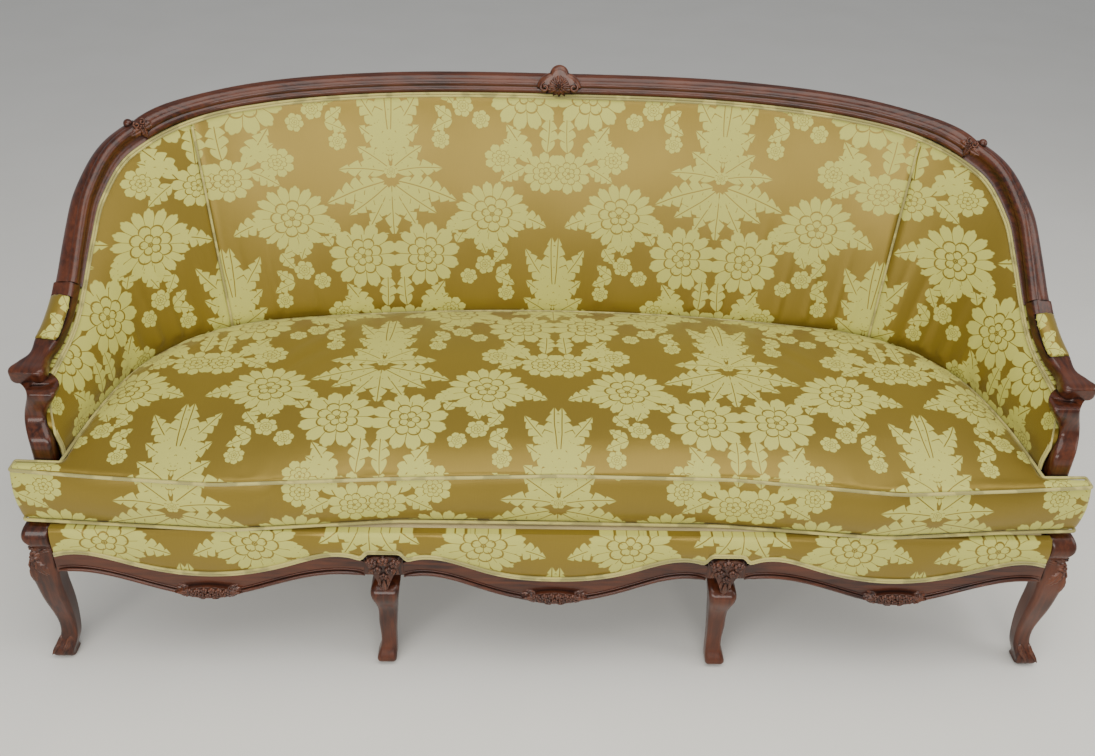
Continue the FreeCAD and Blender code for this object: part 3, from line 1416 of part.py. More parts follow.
def cover_tacks():
    """Tacks through the dust cover into the seat rails and battens, between the webbing strips."""
    across = [share * size("spring_pitch_x") for share in (0.5, 2.5)]
    front = size("front_back_y") + size("batten_size") * 0.35
    corner = 3.25 * size("spring_pitch_x")
    spots = [(Vector(x, front, 0), "webbing_battens") for x in across + [corner]]
    for x in across:
        low, high = 0, STATION_3
        for _ in range(40):
            middle = (low + high) / 2
            low, high = (middle, high) if upright_point(middle, 0, 6).x < x else (low, middle)
        owner = "back_seat_rail_center" if low < size("rear_mid_station") else "back_seat_rail_right"
        spots.append((upright_point(low, 0, 6), owner))
    for y in (-size("spring_pitch_y") * 0.5 - 95, size("spring_pitch_y") * 0.5 - 95):
        spots.append((upright_point(station_at_y(y), 0, 6), "side_seat_rail_right"))
    for spot, owner in spots:
        for side in (0, 1):
            place = flipped(spot) if side else Vector(spot)
            place.z = COVER_LEVEL - size("tack_head_height") - GAP
            place_copy("cover_tacks", TACK, place, UP)
            bore = Part.makeCylinder(size("tack_radius") + GAP / 2, size("tack_length") + GAP, place, UP)
            hole(both_sides(owner)[side], bore)
            hole("dust_cover", bore)


def foot_glides():
    """A domed glide with its pin under each foot."""
    knee_y = COLUMN_Y - size("foot_splay") / 2
    spots = [(Vector(COLUMN_X + size("foot_splay") - 2, knee_y, 0), "front_leg_corner_right"),
             (Vector(MID_X + 5, size("front_face_y") + 14, 0), "front_leg_middle_right")]
    middle = (size("frame_outer") - size("rail_inner")) / 2 + size("rear_leg_kick")
    for station, name in ((size("rear_mid_station"), "rear_leg_middle_right"),
                          (size("rear_corner_station"), "rear_leg_corner_right")):
        spots.append((upright_point(station, 0, middle), name))
    for spot, owner in spots:
        for side in (0, 1):
            place = flipped(spot) if side else spot
            place_copy("foot_glides", GLIDE, place, UP)
            length = size("glide_height") + size("glide_pin_length") + GAP
            pin = Part.makeCylinder(size("glide_pin_radius") + GAP / 2, length, place, UP)
            hole(both_sides(owner)[side], pin)


# All pieces in their places
PIECES = {}


def single(name, shape):
    PIECES[name] = shape


def pair(stem, shape):
    PIECES[stem + "_right"] = shape
    PIECES[stem + "_left"] = mirrored(shape)


def make_frame():
    half, mid, corner = size("rear_leg_half"), size("rear_mid_station"), size("rear_corner_station")
    single("top_rail_center", top_rail_center())
    pair("top_rail", top_rail_right())
    single("crest_carving", crest_carving())
    pair("arm", arm_right())
    pair("arm_stump", arm_stump_right())
    pair("front_leg_corner", front_leg_right())
    pair("front_leg_middle", front_leg_mid_right())
    pair("rear_leg_middle", rear_leg(mid))
    pair("rear_leg_corner", rear_leg(corner))
    pair("front_rail", front_rail_right())
    single("front_rail_center", front_rail_center())
    single("back_seat_rail_center", seat_rail(-mid, mid, half, half))
    pair("back_seat_rail", seat_rail(mid, corner, half, half))
    pair("side_seat_rail", seat_rail(corner, COLUMN_STATION, half, 0))
    single("back_stay_rail_center", stay_rail(-mid, mid, half, half))
    pair("back_stay_rail", stay_rail(mid, corner, half, half))
    pair("corner_block", corner_block())
    single("webbing_battens", group(webbing_battens()))
    brace = seat_brace()
    doc.recompute()
    pair("seat_brace", brace.Shape.copy())


def make_upholstery():
    single("inside_back_center", inside_back_center())
    pair("inside_back", inside_back_right())
    single("outside_back", outside_back())
    pair("outside_side", outside_side_right())
    pair("arm_pad", arm_pad_right())
    single("front_border", front_border())
    single("front_trim", front_trim())
    end = LINE_END - 40
    single("back_trim", back_trim_part(-end, end, 41))
    pair("seam_welt", seam_welt_right())
    single("seat_burlap", seat_burlap())
    single("seat_deck", seat_deck())
    single("seat_webbing", group(seat_webbing()))
    single("back_webbing", group(back_webbing()))
    single("seat_springs", group(seat_springs()))
    cover = seat_sheet(10, size("front_back_y") + GAP, COVER_LEVEL, size("burlap_thickness"))
    single("dust_cover", cover.cut(leg_clearances()))
    single("seat_cushion", seat_cushion())
    single("cushion_welt_top", cushion_welt(WELT_HIGH))
    single("cushion_welt_bottom", cushion_welt(WELT_LOW))


make_frame()
make_upholstery()
rail_dowels()
seat_frame_dowels()
front_dowels()
cover_tacks()
foot_glides()
for owner, shapes in HOLES.items():
    PIECES[owner] = PIECES[owner].cut(shapes)
for kind, shapes in PLACED.items():
    PIECES[kind] = group(shapes)
for name, shape in PIECES.items():
    keep(name, shape)
doc.recompute()

for thing in doc.Objects:
    if {"Invalid", "Error"} & set(thing.State):
        raise RuntimeError("%s did not build" % thing.Label)
for node in NODES:
    shape = node.Shape
    if shape.isNull() or not shape.isValid():
        raise RuntimeError("%s is not a valid solid" % node.Label)
for node in NODES:
    node.Shape.exportStep("parts/%s.step" % node.Label)
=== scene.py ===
"""A cabriole sofa with a basket back, dressed for the camera: carved wood, damask panels and a loose cushion.

Metres. +X is to the right seen from the front, +Y is the back, +Z is up.
"""
import math

import bmesh
import bpy
import numpy as np
from mathutils.bvhtree import BVHTree
from mathutils import Matrix, Vector


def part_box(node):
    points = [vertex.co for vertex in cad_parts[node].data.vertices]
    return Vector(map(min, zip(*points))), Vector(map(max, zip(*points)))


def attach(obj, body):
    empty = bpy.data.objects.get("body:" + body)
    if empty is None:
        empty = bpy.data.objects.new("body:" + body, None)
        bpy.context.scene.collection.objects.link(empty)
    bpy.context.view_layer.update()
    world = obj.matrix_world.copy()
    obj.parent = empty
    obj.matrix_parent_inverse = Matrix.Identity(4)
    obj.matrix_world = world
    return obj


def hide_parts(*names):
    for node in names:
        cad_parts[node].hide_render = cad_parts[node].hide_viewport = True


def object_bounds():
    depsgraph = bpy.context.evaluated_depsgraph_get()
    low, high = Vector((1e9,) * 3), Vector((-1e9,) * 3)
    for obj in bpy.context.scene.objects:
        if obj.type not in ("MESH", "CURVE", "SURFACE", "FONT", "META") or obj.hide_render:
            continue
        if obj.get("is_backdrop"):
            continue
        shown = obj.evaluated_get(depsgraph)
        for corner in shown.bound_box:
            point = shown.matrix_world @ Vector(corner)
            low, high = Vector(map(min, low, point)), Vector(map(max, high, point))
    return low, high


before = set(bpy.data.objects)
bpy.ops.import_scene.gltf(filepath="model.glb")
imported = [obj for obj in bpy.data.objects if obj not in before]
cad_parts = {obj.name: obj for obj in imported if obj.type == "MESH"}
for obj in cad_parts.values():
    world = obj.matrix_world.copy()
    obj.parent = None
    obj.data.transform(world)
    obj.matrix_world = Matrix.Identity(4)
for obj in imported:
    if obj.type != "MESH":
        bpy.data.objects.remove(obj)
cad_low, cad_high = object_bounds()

# The shape of the frame, in the CAD part's own measures
SEAT, RECLINE = 0.470, 0.26
ARC_1, ARC_2, ARC_3 = 3.000, 0.340, 1.000
TURN_1 = math.asin(0.600 / ARC_1)
TURN_2, TURN_3 = math.radians(76), math.radians(86)
STATION_1 = ARC_1 * TURN_1
STATION_2 = STATION_1 + ARC_2 * (TURN_2 - TURN_1)
STATION_3 = STATION_2 + ARC_3 * (TURN_3 - TURN_2)
TILT = math.hypot(1, RECLINE)
BACK_LINE = 0.395 - RECLINE * (0.928 - SEAT) - (0.034 + RECLINE * 0.019) / TILT
SEAM = 0.700
PAD_FACE, PAD_BACK = 0.002, 0.0068


def plan(station):
    """The reference curve at a distance from the middle: its place, outward direction and bearing."""
    side = 1 if station >= 0 else -1
    reach = abs(station)
    c1 = (0, BACK_LINE - ARC_1)
    step_2, step_3 = ARC_1 - ARC_2, ARC_2 - ARC_3
    c2 = (step_2 * math.sin(TURN_1), c1[1] + step_2 * math.cos(TURN_1))
    c3 = (c2[0] + step_3 * math.sin(TURN_2), c2[1] + step_3 * math.cos(TURN_2))
    ahead = 0
    if reach <= STATION_1:
        turn, centre, radius = reach / ARC_1, c1, ARC_1
    elif reach <= STATION_2:
        turn, centre, radius = TURN_1 + (reach - STATION_1) / ARC_2, c2, ARC_2
    elif reach <= STATION_3:
        turn, centre, radius = TURN_2 + (reach - STATION_2) / ARC_3, c3, ARC_3
    else:
        turn, centre, radius, ahead = TURN_3, c3, ARC_3, reach - STATION_3
    sine, cosine = math.sin(turn), math.cos(turn)
    x = centre[0] + radius * sine + ahead * cosine
    y = centre[1] + radius * cosine - ahead * sine
    return Vector((side * x, y, 0)), Vector((side * sine, cosine, 0)), Vector((cosine, -side * sine, 0))


def wall_point(station, level, out):
    spot, outward, _ = plan(station)
    return Vector((spot.x, spot.y, level)) + outward * (RECLINE * max(level - SEAT, 0) + out)


def wall_normal(station, level):
    """The wall's normal, away from the sitter."""
    outward = plan(station)[1]
    lean = RECLINE if level > SEAT else 0
    return (outward - Vector((0, 0, lean))).normalized()


RAIL_LINE = [(0, .928), (.400, .927), (.660, .906), (.810, .858), (.885, .790), (.932, .725), (.985, .662),
             (1.040, .622), (1.100, .601), (1.188, .590)]


def smooth_line(knots):
    chord = [0]
    for a, b in zip(knots, knots[1:]):
        chord.append(chord[-1] + math.hypot(b[0] - a[0], b[1] - a[1]))
    slopes = []
    for i in range(len(knots)):
        before, after = max(i - 1, 0), min(i + 1, len(knots) - 1)
        run = chord[after] - chord[before]
        slopes.append([(knots[after][k] - knots[before][k]) / run for k in range(2)])
    slopes[0] = [1, 0]

    def at(length):
        i = max(j for j in range(len(knots) - 1) if chord[j] <= max(length, 0) or j == 0)
        run = chord[i + 1] - chord[i]
        u = (length - chord[i]) / run
        w = (2 * u**3 - 3 * u**2 + 1, u**3 - 2 * u**2 + u, -2 * u**3 + 3 * u**2, u**3 - u**2)
        return [w[0] * knots[i][k] + w[1] * run * slopes[i][k]
                + w[2] * knots[i + 1][k] + w[3] * run * slopes[i + 1][k] for k in range(2)]

    return at, chord[-1]


rail_at, RAIL_LENGTH = smooth_line(RAIL_LINE)


def length_at(station):
    low, high = 0, RAIL_LENGTH
    for _ in range(40):
        middle = (low + high) / 2
        low, high = (middle, high) if rail_at(middle)[0] < station else (low, middle)
    return low


def rail_centre(length):
    station, level = rail_at(abs(length))
    return wall_point(math.copysign(station, length), level, 0)


def rail_frame(length):
    station, _ = rail_at(abs(length))
    side = 1 if length >= 0 else -1
    along = (rail_centre(length + .002) - rail_centre(length - .002)).normalized()
    lean = min(max((.985 + .045 - station) / .060, 0), 1)
    outward = plan(side * station)[1]
    normal = (outward - Vector((0, 0, RECLINE * lean))).normalized()
    edge = along.cross(normal).normalized()
    return rail_centre(length), edge, normal


RAIL_HALF, ARM_HALF, KNUCKLE_HALF = .019, .011, .016
THIN_START, THIN_END, LINE_END = 1.006, 1.098, 1.188
WOOD_BELOW = [(.775, RAIL_HALF), (THIN_START + .020, ARM_HALF), (THIN_END, ARM_HALF),
              (LINE_END, KNUCKLE_HALF)]


def eased(table, at):
    for (s0, v0), (s1, v1) in zip(table, table[1:]):
        if at <= s1:
            share = max(at - s0, 0) / (s1 - s0)
            return v0 + (v1 - v0) * share * share * (3 - 2 * share)
    return table[-1][1]


def nearest_station(spot, guess):
    station = guess
    for _ in range(12):
        foot, _, along = plan(station)
        station += Vector((spot.x - foot.x, spot.y - foot.y, 0)).dot(along) * .8
    return station


def edge_table(out):
    table = []
    for i in range(91):
        length = RAIL_LENGTH * i / 90
        centre, edge, normal = rail_frame(length)
        spot = centre + normal * out - edge * (eased(WOOD_BELOW, rail_at(length)[0]) + .0006)
        table.append((nearest_station(spot, rail_at(length)[0]), spot.z))
    return table


INSIDE_EDGE = edge_table(.0096)


def read_table(table, station):
    reach = abs(station)
    for (s0, z0), (s1, z1) in zip(table, table[1:]):
        if reach <= s1:
            return z0 + (z1 - z0) * (reach - s0) / (s1 - s0)
    return table[-1][1]


# Node materials
class Maths:
    """Builds arithmetic out of shader nodes."""

    def __init__(self, tree):
        self.tree = tree

    def node(self, kind, **props):
        made = self.tree.nodes.new(kind)
        for key, value in props.items():
            setattr(made, key, value)
        return made

    def link(self, a, b):
        self.tree.links.new(a, b)

    def put(self, socket, value):
        if isinstance(value, bpy.types.NodeSocket):
            self.link(value, socket)
        elif value is not None:
            socket.default_value = value

    def m(self, op, *args):
        made = self.node("ShaderNodeMath", operation=op)
        for socket, value in zip(made.inputs, args):
            self.put(socket, value)
        return made.outputs[0]

    def add(self, a, b): return self.m("ADD", a, b)
    def sub(self, a, b): return self.m("SUBTRACT", a, b)
    def mul(self, a, b): return self.m("MULTIPLY", a, b)
    def div(self, a, b): return self.m("DIVIDE", a, b)
    def low(self, a, b): return self.m("MINIMUM", a, b)
    def high(self, a, b): return self.m("MAXIMUM", a, b)

    def step(self, value, a, b, c=0.0, d=1.0):
        made = self.node("ShaderNodeMapRange", interpolation_type="SMOOTHSTEP", clamp=False)
        for socket, item in zip(made.inputs, (value, a, b, c, d)):
            self.put(socket, item)
        return made.outputs[0]

    def ramp(self, value, a, b, c=0.0, d=1.0):
        made = self.node("ShaderNodeMapRange")
        for socket, item in zip(made.inputs, (value, a, b, c, d)):
            self.put(socket, item)
        return made.outputs[0]

    def mix(self, share, a, b):
        made = self.node("ShaderNodeMix", data_type="RGBA")
        self.put(made.inputs[0], share)
        self.put(made.inputs[6], a)
        self.put(made.inputs[7], b)
        return made.outputs[2]

    def noise(self, where, scale, detail=2.0, rough=.5):
        made = self.node("ShaderNodeTexNoise")
        self.put(made.inputs["Vector"], where)
        made.inputs["Scale"].default_value = scale
        made.inputs["Detail"].default_value = detail
        made.inputs["Roughness"].default_value = rough
        return made.outputs[0]

    def bump(self, height, strength, distance, normal=None):
        made = self.node("ShaderNodeBump")
        made.inputs["Strength"].default_value = strength
        made.inputs["Distance"].default_value = distance
        self.put(made.inputs["Height"], height)
        self.put(made.inputs["Normal"], normal)
        return made.outputs[0]

    def xyz(self, vector):
        made = self.node("ShaderNodeSeparateXYZ")
        self.link(vector, made.inputs[0])
        return made.outputs

    def vector(self, x, y, z=0.0):
        made = self.node("ShaderNodeCombineXYZ")
        for socket, item in zip(made.inputs, (x, y, z)):
            self.put(socket, item)
        return made.outputs[0]


def material(name, tint):
    made = bpy.data.materials.new(name)
    made.use_nodes = True
    made.diffuse_color = (*tint, 1)
    tree = made.node_tree
    shader = next(n for n in tree.nodes if n.type == "BSDF_PRINCIPLED")
    return made, Maths(tree), shader


def new_group(name, inputs):
    tree = bpy.data.node_groups.new(name, "ShaderNodeTree")
    for label in inputs:
        tree.interface.new_socket(label, in_out="INPUT", socket_type="NodeSocketFloat")
    tree.interface.new_socket("Mask", in_out="OUTPUT", socket_type="NodeSocketFloat")
    maths = Maths(tree)
    return tree, maths, maths.node("NodeGroupInput").outputs, maths.node("NodeGroupOutput").inputs[0]


def leaf_group():
    """A lobed leaf: 1 in its cloth and 0 outside and in its veins. U, V in millimetres."""
    sockets = ["U", "V", "X", "Y", "Cos", "Sin", "Length", "Width", "Bend", "Lobes"]
    tree, k, at, out = new_group("leaf", sockets)
    dx, dy = k.sub(at["U"], at["X"]), k.sub(at["V"], at["Y"])
    along = k.div(k.add(k.mul(dx, at["Cos"]), k.mul(dy, at["Sin"])), at["Length"])
    across = k.div(k.sub(k.mul(dy, at["Cos"]), k.mul(dx, at["Sin"])), at["Width"])
    across = k.sub(across, k.mul(at["Bend"], k.mul(along, along)))
    side = k.m("ABSOLUTE", across)
    body = k.m("SINE", k.mul(k.m("POWER", k.m("MAXIMUM", along, 0.0001), .8), math.pi))
    wave = k.m("FRACT", k.sub(k.mul(along, at["Lobes"]), k.mul(side, .55)))
    tooth = k.sub(1.0, k.mul(k.mul(wave, wave), .42))
    inside = k.sub(k.mul(body, tooth), side)
    vein = k.m("ABSOLUTE", k.sub(wave, .98))
    keep = k.high(k.step(vein, .03, .10), k.step(side, .30, .14))
    rib = k.step(side, .025, .065)
    mask = k.mul(k.step(inside, -.03, .05), k.mul(keep, rib))
    limit = k.mul(k.m("GREATER_THAN", along, 0.0), k.m("LESS_THAN", along, 1.0))
    k.link(k.mul(mask, limit), out)
    return tree


def flower_group():
    """An open flower with three rings of petals outlined by fine gaps."""
    tree, k, at, out = new_group("flower", ["U", "V", "X", "Y", "Radius", "Petals", "Turn", "Squash"])
    dx, dy = k.sub(at["U"], at["X"]), k.mul(k.sub(at["V"], at["Y"]), at["Squash"])
    reach = k.div(k.m("SQRT", k.add(k.mul(dx, dx), k.mul(dy, dy))), at["Radius"])
    turn = k.add(k.m("ARCTAN2", dy, dx), at["Turn"])
    wide = k.mul(turn, k.mul(at["Petals"], .5))
    outer = k.m("ABSOLUTE", k.m("COSINE", wide))
    middle = k.m("ABSOLUTE", k.m("COSINE", k.add(k.mul(turn, 4.0), .7)))
    inner = k.m("ABSOLUTE", k.m("COSINE", k.add(k.mul(turn, 2.5), 1.1)))
    notch = k.m("ABSOLUTE", k.m("COSINE", k.mul(wide, 3.0)))
    rim = k.add(.66, k.add(k.mul(k.m("POWER", outer, .55), .30), k.mul(notch, .045)))
    ring_2 = k.add(.40, k.mul(k.m("POWER", middle, .6), .14))
    ring_3 = k.add(.17, k.mul(k.m("POWER", inner, .6), .11))
    edge = k.step(k.sub(rim, reach), -.01, .03)
    gap_1 = k.high(k.step(k.mul(outer, reach), .035, .075), k.step(reach, .50, .44))
    line_2 = k.step(k.m("ABSOLUTE", k.sub(reach, ring_2)), .012, .035)
    beyond_2 = k.high(k.step(reach, .22, .20), k.step(k.sub(reach, ring_2), -.02, 0.0))
    gap_2 = k.high(k.step(k.mul(middle, reach), .018, .05), beyond_2)
    line_3 = k.step(k.m("ABSOLUTE", k.sub(reach, ring_3)), .010, .032)
    gap_3 = k.high(k.step(k.mul(inner, reach), .010, .035), k.step(k.sub(reach, ring_3), -.02, 0.0))
    eye = k.step(k.m("ABSOLUTE", k.sub(reach, .055)), .006, .022)
    vein = k.m("ABSOLUTE", k.m("SINE", k.mul(wide, 4.0)))
    hairs = k.high(k.step(vein, .10, .35), k.high(k.step(reach, .74, .66), k.step(reach, .50, .56)))
    mask = edge
    for part in (gap_1, line_2, gap_2, line_3, gap_3, eye, hairs):
        mask = k.mul(mask, part)
    k.link(mask, out)
    return tree


HALF_WIDE, HALF_TALL = 343.0, 335.0


def damask_group():
    """The damask: 1 in its motifs and 0 in its ground, mirrored every half width with a half drop."""
    leaf, flower = leaf_group(), flower_group()
    tree, k, at, out = new_group("damask", ["U", "V"])
    row = k.m("FLOOR", k.div(at["V"], HALF_TALL))
    v = k.sub(at["V"], k.mul(row, HALF_TALL))
    odd = k.m("ABSOLUTE", k.sub(row, k.mul(k.m("FLOOR", k.div(row, 2.0)), 2.0)))
    folded = k.m("PINGPONG", k.add(at["U"], k.mul(odd, HALF_WIDE)), HALF_WIDE)
    total = None

    def place(tree_used, values):
        nonlocal total
        made = k.node("ShaderNodeGroup", node_tree=tree_used)
        for socket, item in zip(made.inputs, [folded, v] + values):
            k.put(socket, item)
        total = made.outputs[0] if total is None else k.high(total, made.outputs[0])

    def add_leaf(x, y, angle, length, width, bend=0.0, lobes=5.0):
        turn = math.radians(angle)
        place(leaf, [x, y, math.cos(turn), math.sin(turn), length * 1.1, width * 1.2, bend, lobes])

    def add_flower(x, y, radius, petals=12.0, turn=0.0, squash=1.0):
        place(flower, [x, y, radius * 1.1, petals, turn, squash])

    # The tall spray on the mirror line: hanging leaves, side scrolls, a cup of petals and a plume
    add_leaf(0, 104, -90, 104, 17, 0, 4)
    add_leaf(4, 100, -64, 92, 17, .2, 5)
    add_leaf(8, 104, -40, 96, 19, .3, 5)
    add_leaf(14, 112, -14, 118, 22, -.5, 6)
    add_leaf(10, 132, 14, 88, 17, -.9, 4)
    add_leaf(4, 140, 40, 70, 17, -.3, 4)
    add_leaf(0, 168, 62, 78, 20, .3, 4)
    add_leaf(0, 186, 22, 66, 18, .7, 4)
    add_leaf(2, 205, 84, 112, 19, .35, 5)
    add_leaf(10, 215, 52, 92, 17, .5, 5)
    add_flower(0, 182, 32, 9, .4, 1.1)
    add_flower(0, 132, 13, 6, 0, 1)
    # A pair of peonies hangs under the spray, and its drop stands beside the next one
    for x, y in ((66, -48), (HALF_WIDE - 66, HALF_TALL - 48)):
        add_flower(x, y, 67, 12, .2)
    add_leaf(118, -6, 62, 52, 15, .3, 4)
    add_leaf(110, 12, 18, 40, 12, .2, 3)
    add_leaf(HALF_WIDE - 132, HALF_TALL - 22, 120, 46, 14, .3, 4)
    # The wide chrysanthemum and its drop
    for x, y in ((208, 40), (HALF_WIDE - 208, HALF_TALL + 40)):
        add_flower(x, y, 72, 17, .5, 1.12)
    add_leaf(262, 38, -16, 62, 17, -.4, 4)
    add_leaf(HALF_WIDE - 176, HALF_TALL - 4, 240, 46, 14, .3, 3)
    # The rose bough by the other mirror line
    add_flower(318, 128, 42, 10, .9, 1.05)
    add_flower(226, 158, 31, 8, .3, 1.1)
    add_leaf(286, 150, 118, 84, 19, .3, 5)
    add_leaf(290, 166, 160, 62, 17, -.4, 4)
    add_leaf(276, 140, 205, 54, 15, .3, 4)
    add_leaf(322, 170, 84, 76, 16, .3, 4)
    # Small sprigs between them
    add_flower(150, 262, 20, 6, .2)
    add_flower(186, 236, 17, 6, .8)
    add_leaf(128, 236, 200, 44, 12, .3, 3)
    add_leaf(126, 240, 150, 38, 11, -.3, 3)
    add_leaf(112, 300, 20, 44, 12, .2, 3)
    add_leaf(106, 302, 300, 40, 12, .3, 3)
    add_flower(104, 196, 17, 7, .5)
    k.link(total, out)
    return tree


DAMASK = damask_group()


def weave_height(k, u, v, pitch):
    """Ribs of a satin weave, in threads of some pitch in millimetres."""
    across = k.m("SINE", k.mul(u, 2 * math.pi / pitch))
    along = k.m("SINE", k.mul(v, 2 * math.pi / (pitch * 2.3)))
    return k.add(k.mul(across, .6), k.mul(along, .4))


def damask_material(name, ground, motif, slip):
    """Matte motifs on a satin ground."""
    made, k, shader = material(name, motif)
    uv = k.node("ShaderNodeUVMap", uv_map="cloth").outputs[0]
    parts = k.xyz(uv)
    where = k.node("ShaderNodeTexCoord").outputs["Object"]
    wobble = k.sub(k.noise(uv, 14.0, 1.0), .5)
    u = k.add(k.add(k.mul(parts[0], 1000.0), slip[0]), k.mul(wobble, 4.0))
    v = k.add(k.add(k.mul(parts[1], 1000.0), slip[1]), k.mul(wobble, -3.0))
    group = k.node("ShaderNodeGroup", node_tree=DAMASK)
    k.put(group.inputs[0], u)
    k.put(group.inputs[1], v)
    mask = group.outputs[0]
    streak = k.noise(k.vector(k.mul(parts[0], 900.0), k.mul(parts[1], 25.0)), 1.0, 2.0)
    soft = k.noise(where, 5.0, 3.0)
    tone = k.add(k.mul(k.sub(streak, .5), .22), k.mul(k.sub(soft, .5), .30))
    back = k.mix(k.add(.5, tone), [c * .72 for c in ground] + [1], [min(c * 1.30, 1) for c in ground] + [1])
    front = k.mix(k.add(.5, tone), [c * .86 for c in motif] + [1], [min(c * 1.12, 1) for c in motif] + [1])
    k.put(shader.inputs["Base Color"], k.mix(mask, back, front))
    k.put(shader.inputs["Roughness"], k.ramp(mask, 0, 1, .36, .68))
    k.put(shader.inputs["Metallic"], k.ramp(mask, 0, 1, .42, .04))
    shader.inputs["Sheen Weight"].default_value = .25
    shader.inputs["Sheen Roughness"].default_value = .4
    shader.inputs["Sheen Tint"].default_value = (.95, .9, .6, 1)
    k.put(shader.inputs["Normal"], k.bump(weave_height(k, u, v, 1.1), .12, .0004))
    return made


GROUND, MOTIF = (.225, .155, .016), (.50, .49, .105)
damask_seat = damask_material("damask_seat", GROUND, MOTIF, (0, -150))
damask_back = damask_material("damask_back", GROUND, MOTIF, (0, -500))
damask_front = damask_material("damask_front", GROUND, MOTIF, (0, 60))


def cord_material(name, tint):
    """A cord covered in the same cloth: fine slanting threads."""
    made, k, shader = material(name, tint)
    uv = k.node("ShaderNodeUVMap", uv_map="cloth").outputs[0]
    parts = k.xyz(uv)
    where = k.node("ShaderNodeTexCoord").outputs["Object"]
    twist = k.m("SINE", k.mul(k.add(parts[0], parts[1]), 2 * math.pi / .0024))
    patch = k.step(k.noise(where, 22.0, 2.0), .46, .54)
    body = k.mix(patch, [c * .72 for c in tint] + [1], [c * 1.12 for c in tint] + [1])
    k.put(shader.inputs["Base Color"], k.mix(k.mul(k.add(twist, 1.0), .12), body, (.12, .09, .02, 1)))
    k.put(shader.inputs["Roughness"], k.ramp(twist, -1, 1, .5, .66))
    shader.inputs["Sheen Weight"].default_value = .3
    k.put(shader.inputs["Normal"], k.bump(twist, .4, .0004))
    return made


welt_cloth = cord_material("welt_cloth", (.47, .42, .12))


def wood_material(name, dark, warm, gloss=.26, axis=0):
    """Polished dark wood: fine grain, pores and redder clouds, with painted shade that turns it black in its
    grooves.
    """
    made, k, shader = material(name, warm)
    where = k.node("ShaderNodeTexCoord").outputs["Object"]
    parts = k.xyz(where)
    scale = [60.0, 60.0, 60.0]
    scale[axis] = 5.0
    stretched = k.vector(*[k.mul(parts[i], scale[i]) for i in range(3)])
    grain = k.noise(stretched, 2.2, 5.0, .62)
    pores = k.noise(k.vector(*[k.mul(parts[i], scale[i] * 9) for i in range(3)]), 1.5, 2.0)
    cloud = k.noise(where, 7.0, 3.0)
    # Ambient occlusion, used for painted shade in grooves and for a rougher finish there
    shade = k.node("ShaderNodeAmbientOcclusion", samples=6)
    shade.inputs["Distance"].default_value = .010
    open_share = shade.outputs["AO"]
    base = k.mix(k.step(grain, .32, .70), dark + (1,), warm + (1,))
    base = k.mix(k.step(cloud, .35, .75, 0.0, .55), base, (.13, .036, .014, 1))
    base = k.mix(k.step(pores, .60, .78, 0.0, .5), base, (.020, .007, .004, 1))
    # Painted shade: ambient occlusion blackens the colour in grooves and crevices
    base = k.mix(k.step(open_share, .92, .45, 0.0, .93), base, (.010, .004, .003, 1))
    k.put(shader.inputs["Base Color"], base)
    rougher = k.add(k.mul(grain, .14), k.step(open_share, .9, .4, 0.0, .2))
    k.put(shader.inputs["Roughness"], k.add(gloss, rougher))
    shader.inputs["Specular IOR Level"].default_value = .28
    shader.inputs["Coat Weight"].default_value = .30
    shader.inputs["Coat Roughness"].default_value = .09
    k.put(shader.inputs["Normal"], k.bump(k.add(grain, k.mul(pores, .5)), .12, .0006))
    return made


DARK, WARM = (.018, .005, .003), (.080, .019, .006)
wood_x = wood_material("wood_rail", DARK, WARM, axis=0)
wood_z = wood_material("wood_leg", DARK, WARM, axis=2)
wood_y = wood_material("wood_arm", DARK, WARM, axis=1)
wood_carved = wood_material("wood_carving", (.035, .011, .006), (.14, .044, .018), .30, axis=2)


def plain_cloth(name, tint, pitch, rough=.85):
    """An open plain weave, with painted shade darkening the hollows between its threads."""
    made, k, shader = material(name, tint)
    where = k.node("ShaderNodeTexCoord").outputs["Object"]
    parts = k.xyz(where)
    wx = k.m("SINE", k.mul(parts[0], 2 * math.pi / pitch))
    wy = k.m("SINE", k.mul(k.add(parts[1], parts[2]), 2 * math.pi / pitch))
    threads = k.mul(wx, wy)
    soft = k.noise(where, 9.0, 3.0)
    body = k.mix(k.step(soft, .3, .7), [c * .8 for c in tint] + [1], [min(c * 1.15, 1) for c in tint] + [1])
    # Painted shade: the colour turns darker where the thread height is low, in the hollows of the weave
    gaps = [c * .3 for c in tint] + [1]
    k.put(shader.inputs["Base Color"], k.mix(k.ramp(threads, -1, 1, .25, 0.0), body, gaps))
    k.put(shader.inputs["Roughness"], k.ramp(threads, -1, 1, rough, rough - .12))
    k.put(shader.inputs["Normal"], k.bump(threads, .5, .0006))
    return made


jute_cloth = plain_cloth("jute_weave", (.42, .31, .17), .004)
black_cloth = plain_cloth("cover_weave", (.035, .034, .033), .0025)
deck_cloth = plain_cloth("deck_weave", (.50, .41, .20), .002)
pale_wood = wood_material("wood_hidden", (.36, .24, .13), (.58, .42, .25), .62, axis=0)


def metal_material(name, tint, rough):
    made, k, shader = material(name, tint)
    where = k.node("ShaderNodeTexCoord").outputs["Object"]
    spots = k.noise(where, 160.0, 4.0)
    dull = tuple(c * .5 for c in tint) + (1,)
    k.put(shader.inputs["Base Color"], k.mix(k.step(spots, .45, .7), tint + (1,), dull))
    k.put(shader.inputs["Roughness"], k.ramp(spots, .3, .8, rough, rough + .25))
    shader.inputs["Metallic"].default_value = 1
    k.put(shader.inputs["Normal"], k.bump(spots, .1, .0004))
    return made


steel = metal_material("steel", (.46, .45, .43), .32)


